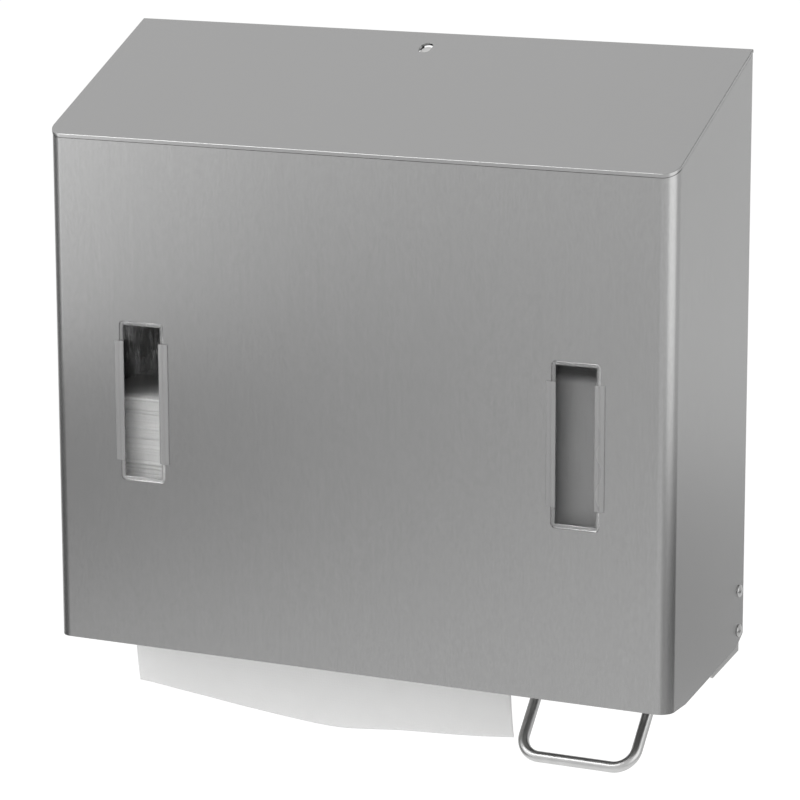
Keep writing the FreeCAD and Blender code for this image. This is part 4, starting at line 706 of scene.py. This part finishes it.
def rail(name, x, side, material):
    """A strip on the rim, from 2.8 mm inside the opening's edge to 2.7 mm outside it. Its section is a flat
    ridge inside, a groove over the opening's edge and a lower lip on the steel, and its ends are rounded."""
    edge = WINDOW_WIDTH / 2 / MM
    section = np.array([
        (-2.80, 0.00), (-2.80, 0.55), (-2.68, 0.72), (-2.40, 0.80), (-0.75, 0.80),
        (-0.45, 0.74), (-0.15, 0.50), (0.10, 0.42), (0.40, 0.55), (0.70, 0.60),
        (2.20, 0.60), (2.50, 0.53), (2.66, 0.38), (2.70, 0.15), (2.70, 0.02),
    ])
    half = RAIL_LENGTH / 2
    first_end = [(-half, 0.78), (-half + 0.12 * MM, 0.93), (-half + 0.4 * MM, 1.0)]
    last_end = [(-z, shrink) for z, shrink in first_end[::-1]]
    rings = []
    for z, shrink in first_end + last_end:
        across = (edge + section[:, 0]) * MM
        proud = (0.02 + (section[:, 1] - 0.02) * shrink) * MM
        rings.append(np.stack([x + side * across, FRONT_Y - proud, np.full(len(section), WINDOW_Z + z)], 1))
    return capped_tube(name, np.array(rings), material)


window_plastic = {
    "towel": clear_plastic("streaked_plastic", 0.65),
    "soap": clear_plastic("window_plastic", 0.0),
}
# The rim is clear plastic in the object. The light grey, partly matt share of this material paints the light
# that its edges gather and refract.
rim_plastic_painted_light = moulded("rim_plastic_painted_light", (0.75, 0.75, 0.75), 0.12, transmission=0.85)
milky_plastic = moulded("milky_plastic", (0.30, 0.30, 0.30), 0.25, transmission=0.25)
for name, middle in (("towel", -0.1256), ("soap", 0.1284)):
    clear = pane(name + "_pane", middle, window_plastic[name])
    edge = rim(name + "_rim", middle, rim_plastic_painted_light)
    for piece in (clear, edge):
        placed(piece, "cover", "clear_plastic", name + "_window")
    for word, side in (("left", -1), ("right", 1)):
        strip = rail(name + "_rail_" + word, middle, side, milky_plastic)
        placed(strip, "cover", "clear_plastic", name + "_window")


# Rivets and washers. Domed steel rivets turn in the ears of the back plate, with nylon washers between the
# sheets. Their heads are smooth, and their tails are spread flat inside.

def turned(name, centre, profile, side, material):
    """A profile of distance along X and radius, turned about the X axis through a centre."""
    turn = np.linspace(0, 2 * math.pi, 40, endpoint=False)
    rings = []
    for along, radius in profile:
        x = np.full(40, side * along)
        rings.append(np.stack([x, centre[0] + radius * np.cos(turn), centre[1] + radius * np.sin(turn)], 1))
    return capped_tube(name, np.array(rings), material)


def rivet_profile():
    """The tail, the shank, and a head that is a part of a sphere over a short upright rim."""
    tail = [(176.7, 3.0), (176.7, 3.3), (176.8, 3.4), (178.0, 3.4), (178.1, 3.3), (178.1, 2.0)]
    upright = [(181.5, 2.0), (181.5, 3.4), (181.75, 3.4)]
    rise = np.linspace(0.1, math.pi / 2 - 0.05, 12)
    dome = [(181.75 + 1.05 * math.sin(t), 3.4 * math.cos(t)) for t in rise]
    return np.array(tail + upright + dome) * MM


RIVET_Y = -7.0 * MM
rivet_steel = bright_metal("rivet_steel", (0.36, 0.36, 0.358), 0.22, 0.000001)
for name, cad, height in (("hinge", "hinge_rivets", 20.0), ("stop", "stop_rivets", 42.0)):
    for word, side in (("left", -1), ("right", 1)):
        centre = (RIVET_Y, FRONT_EDGE_Z + height * MM)
        head = turned(name + "_rivet_" + word, centre, rivet_profile(), side, rivet_steel)
        placed(broken_edges(head, 0.02 * MM, 1), "cover", "bright_steel", cad)
painted(["hinge_washers"], white_plastic)


# Floor, light and camera. A plain pale floor far below and a white surround, with soft lamps on the left, above
# and on the right. The upper lamp lights the paper, and a strip beside it shows only in metal. Cloths that only
# the steel mirrors give it the studio's darker side.

FLOOR_Z = -1.15


def stage_mesh(name, points, faces, material):
    """A piece of the studio, which isn't part of the object."""
    mesh = bpy.data.meshes.new(name)
    mesh.from_pydata(np.asarray(points, float).tolist(), [], np.asarray(faces).tolist())
    made = bpy.data.objects.new(name, mesh)
    bpy.context.scene.collection.objects.link(made)
    made.data.materials.append(material)
    made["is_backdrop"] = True
    return made


def background_seen(tree, path):
    """1 for what camera, mirror and glass see of the background, and 0 for the light that lands on matt
    things."""
    seen = maths(tree, "MAXIMUM", path.outputs["Is Camera Ray"],
                 maths(tree, "MAXIMUM", path.outputs["Is Glossy Ray"], path.outputs["Is Transmission Ray"]))
    return maths(tree, "MULTIPLY", seen, maths(tree, "LESS_THAN", path.outputs["Diffuse Depth"], 0.5))


def pale_floor():
    """A pale matt floor. Camera, mirror and glass see it lifted to white, less its shadows. A look from below
    goes through it."""
    made, tree, shader, place = fresh_material("pale_floor")
    path = tree.nodes.new("ShaderNodeLightPath")
    seen = background_seen(tree, path)
    shader.inputs["Base Color"].default_value = (0.85, 0.85, 0.85, 1.0)
    shader.inputs["Roughness"].default_value = 1.0
    shader.inputs["Specular IOR Level"].default_value = 0.0
    shader.inputs["Emission Color"].default_value = (1, 1, 1, 1)
    from_below = tree.nodes.new("ShaderNodeNewGeometry").outputs["Backfacing"]
    wire(
        tree,
        (maths(tree, "MULTIPLY", seen, 0.34), shader.inputs["Emission Strength"]),
        (maths(tree, "SUBTRACT", 1.0, from_below), shader.inputs["Alpha"]),
    )
    return made


floor_corners = [(-60, -60, FLOOR_Z), (60, -60, FLOOR_Z), (60, 60, FLOOR_Z), (-60, 60, FLOOR_Z)]
stage_mesh("floor", floor_corners, [(0, 1, 2, 3)], pale_floor())


OBJECT_Y, OBJECT_Z = -0.06, -0.11


def matt_cloth(name, shade):
    """Plain matt cloth."""
    made, tree, shader, place = fresh_material(name)
    shader.inputs["Base Color"].default_value = (shade, shade, shade, 1.0)
    shader.inputs["Roughness"].default_value = 1.0
    shader.inputs["Specular IOR Level"].default_value = 0.0
    return made


def curved_cloth(name, first, last, low_edge, high_edge, material):
    """A sheet between two arcs about the object. Each edge has a radius and a height, and the arcs run from
    the first to the last angle, counted in degrees from the front towards the right."""
    turn = np.radians(np.linspace(first, last, 40))
    rows = [
        np.stack([r * np.sin(turn), OBJECT_Y - r * np.cos(turn), np.full(40, z)], 1)
        for r, z in (low_edge, high_edge)
    ]
    made = stage_mesh(name, np.concatenate(rows), grid_quads(2, 40), material)
    made.visible_camera = made.visible_diffuse = made.visible_shadow = made.visible_transmission = False
    return made


ON_FLOOR, OVER_FLOOR = FLOOR_Z + 0.001, FLOOR_Z + 0.002
for name, first, last, low_edge, high_edge, shade in (
    ("left_floor_cloth", -99.8, -27.4, (3.566, ON_FLOOR), (7.831, ON_FLOOR), 0.24),
    ("right_floor_cloth", 26.4, 75.0, (2.90, ON_FLOOR), (4.475, ON_FLOOR), 0.28),
    ("rear_floor_cloth", 75.0, 152.5, (2.90, ON_FLOOR), (4.475, ON_FLOOR), 0.08),
    ("far_floor_cloth", 80.0, 150.0, (6.5, OVER_FLOOR), (16.0, OVER_FLOOR), 1.0),
    ("upper_right_cloth", 50.0, 175.0, (1.3, 0.68), (0.5, 1.3), 0.6),
    ("left_flag", -101.3, -47.5, (1.6, OVER_FLOOR), (1.6, -0.06), 0.20),
):
    curved_cloth(name, first, last, low_edge, high_edge, matt_cloth(name, shade))

world = bpy.data.worlds.new("studio")
bpy.context.scene.world = world
world.use_nodes = True
sky = world.node_tree
seen = sky.nodes.new("ShaderNodeLightPath")
back = sky.nodes["Background"]
white = background_seen(sky, seen)
back.inputs["Color"].default_value = (1, 1, 1, 1)
sky.links.new(ramp(sky, white, 0.0, 1.0, 0.8, 1.0), back.inputs["Strength"])


def soft_lamp(name, azimuth, elevation, distance, size, radiance, on_matt=True, in_metal=True):
    """A rectangular lamp that faces the object's middle from an azimuth (from the front towards the right), an
    elevation and a distance. Its power is 4 times its area times its radiance. It can light matt surfaces,
    show in metal, or both."""
    data = bpy.data.lights.new(name, "AREA")
    data.shape = "RECTANGLE"
    data.size, data.size_y = size
    data.energy = 4 * size[0] * size[1] * radiance
    made = bpy.data.objects.new(name, data)
    bpy.context.scene.collection.objects.link(made)
    az, el = math.radians(azimuth), math.radians(elevation)
    z = np.array([math.sin(az) * math.cos(el), -math.cos(az) * math.cos(el), math.sin(el)])
    place = np.array([0, OBJECT_Y, OBJECT_Z]) + distance * z
    x = np.cross((0, 0, 1), z)
    x = x / np.linalg.norm(x)
    y = np.cross(z, x)
    made.matrix_world = Matrix([[x[i], y[i], z[i], place[i]] for i in range(3)] + [[0, 0, 0, 1]])
    made.visible_camera = False
    made.visible_diffuse, made.visible_glossy = on_matt, in_metal
    return made


soft_lamp("left_lamp", -47.7, 12.5, 1.009, (0.405, 0.782), 1.126)
soft_lamp("upper_lamp", -20.0, 58.0, 1.6, (1.3, 1.8), 2.2, in_metal=False)
soft_lamp("strip_lamp", -36.0, 43.0, 1.6, (0.9, 0.40), 5.0, on_matt=False)
soft_lamp("right_lamp", 71.1, 9.0, 1.565, (1.589, 1.198), 0.784)

YAW, PITCH, ROLL = np.radians([25.741, 12.129, -0.152])
LENS, SENSOR = 164.32, 36.0
look = np.array([-math.sin(YAW) * math.cos(PITCH), math.cos(YAW) * math.cos(PITCH), -math.sin(PITCH)])
right = np.cross(look, (0, 0, 1))
right = right / np.linalg.norm(right)
up = np.cross(right, look)
across = right * math.cos(ROLL) + up * math.sin(ROLL)
upward = -right * math.sin(ROLL) + up * math.cos(ROLL)
stand = np.array([837.8, -1785.2, 302.3]) * MM
camera_data = bpy.data.cameras.new("camera")
camera_data.sensor_width = SENSOR
camera_data.lens = LENS
camera = bpy.data.objects.new("camera", camera_data)
bpy.context.scene.collection.objects.link(camera)
camera.matrix_world = Matrix(
    [[across[i], upward[i], -look[i], stand[i]] for i in range(3)] + [[0, 0, 0, 1]]
)
bpy.context.scene.camera = camera
bpy.context.scene.view_settings.view_transform = "Standard"

low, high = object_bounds()
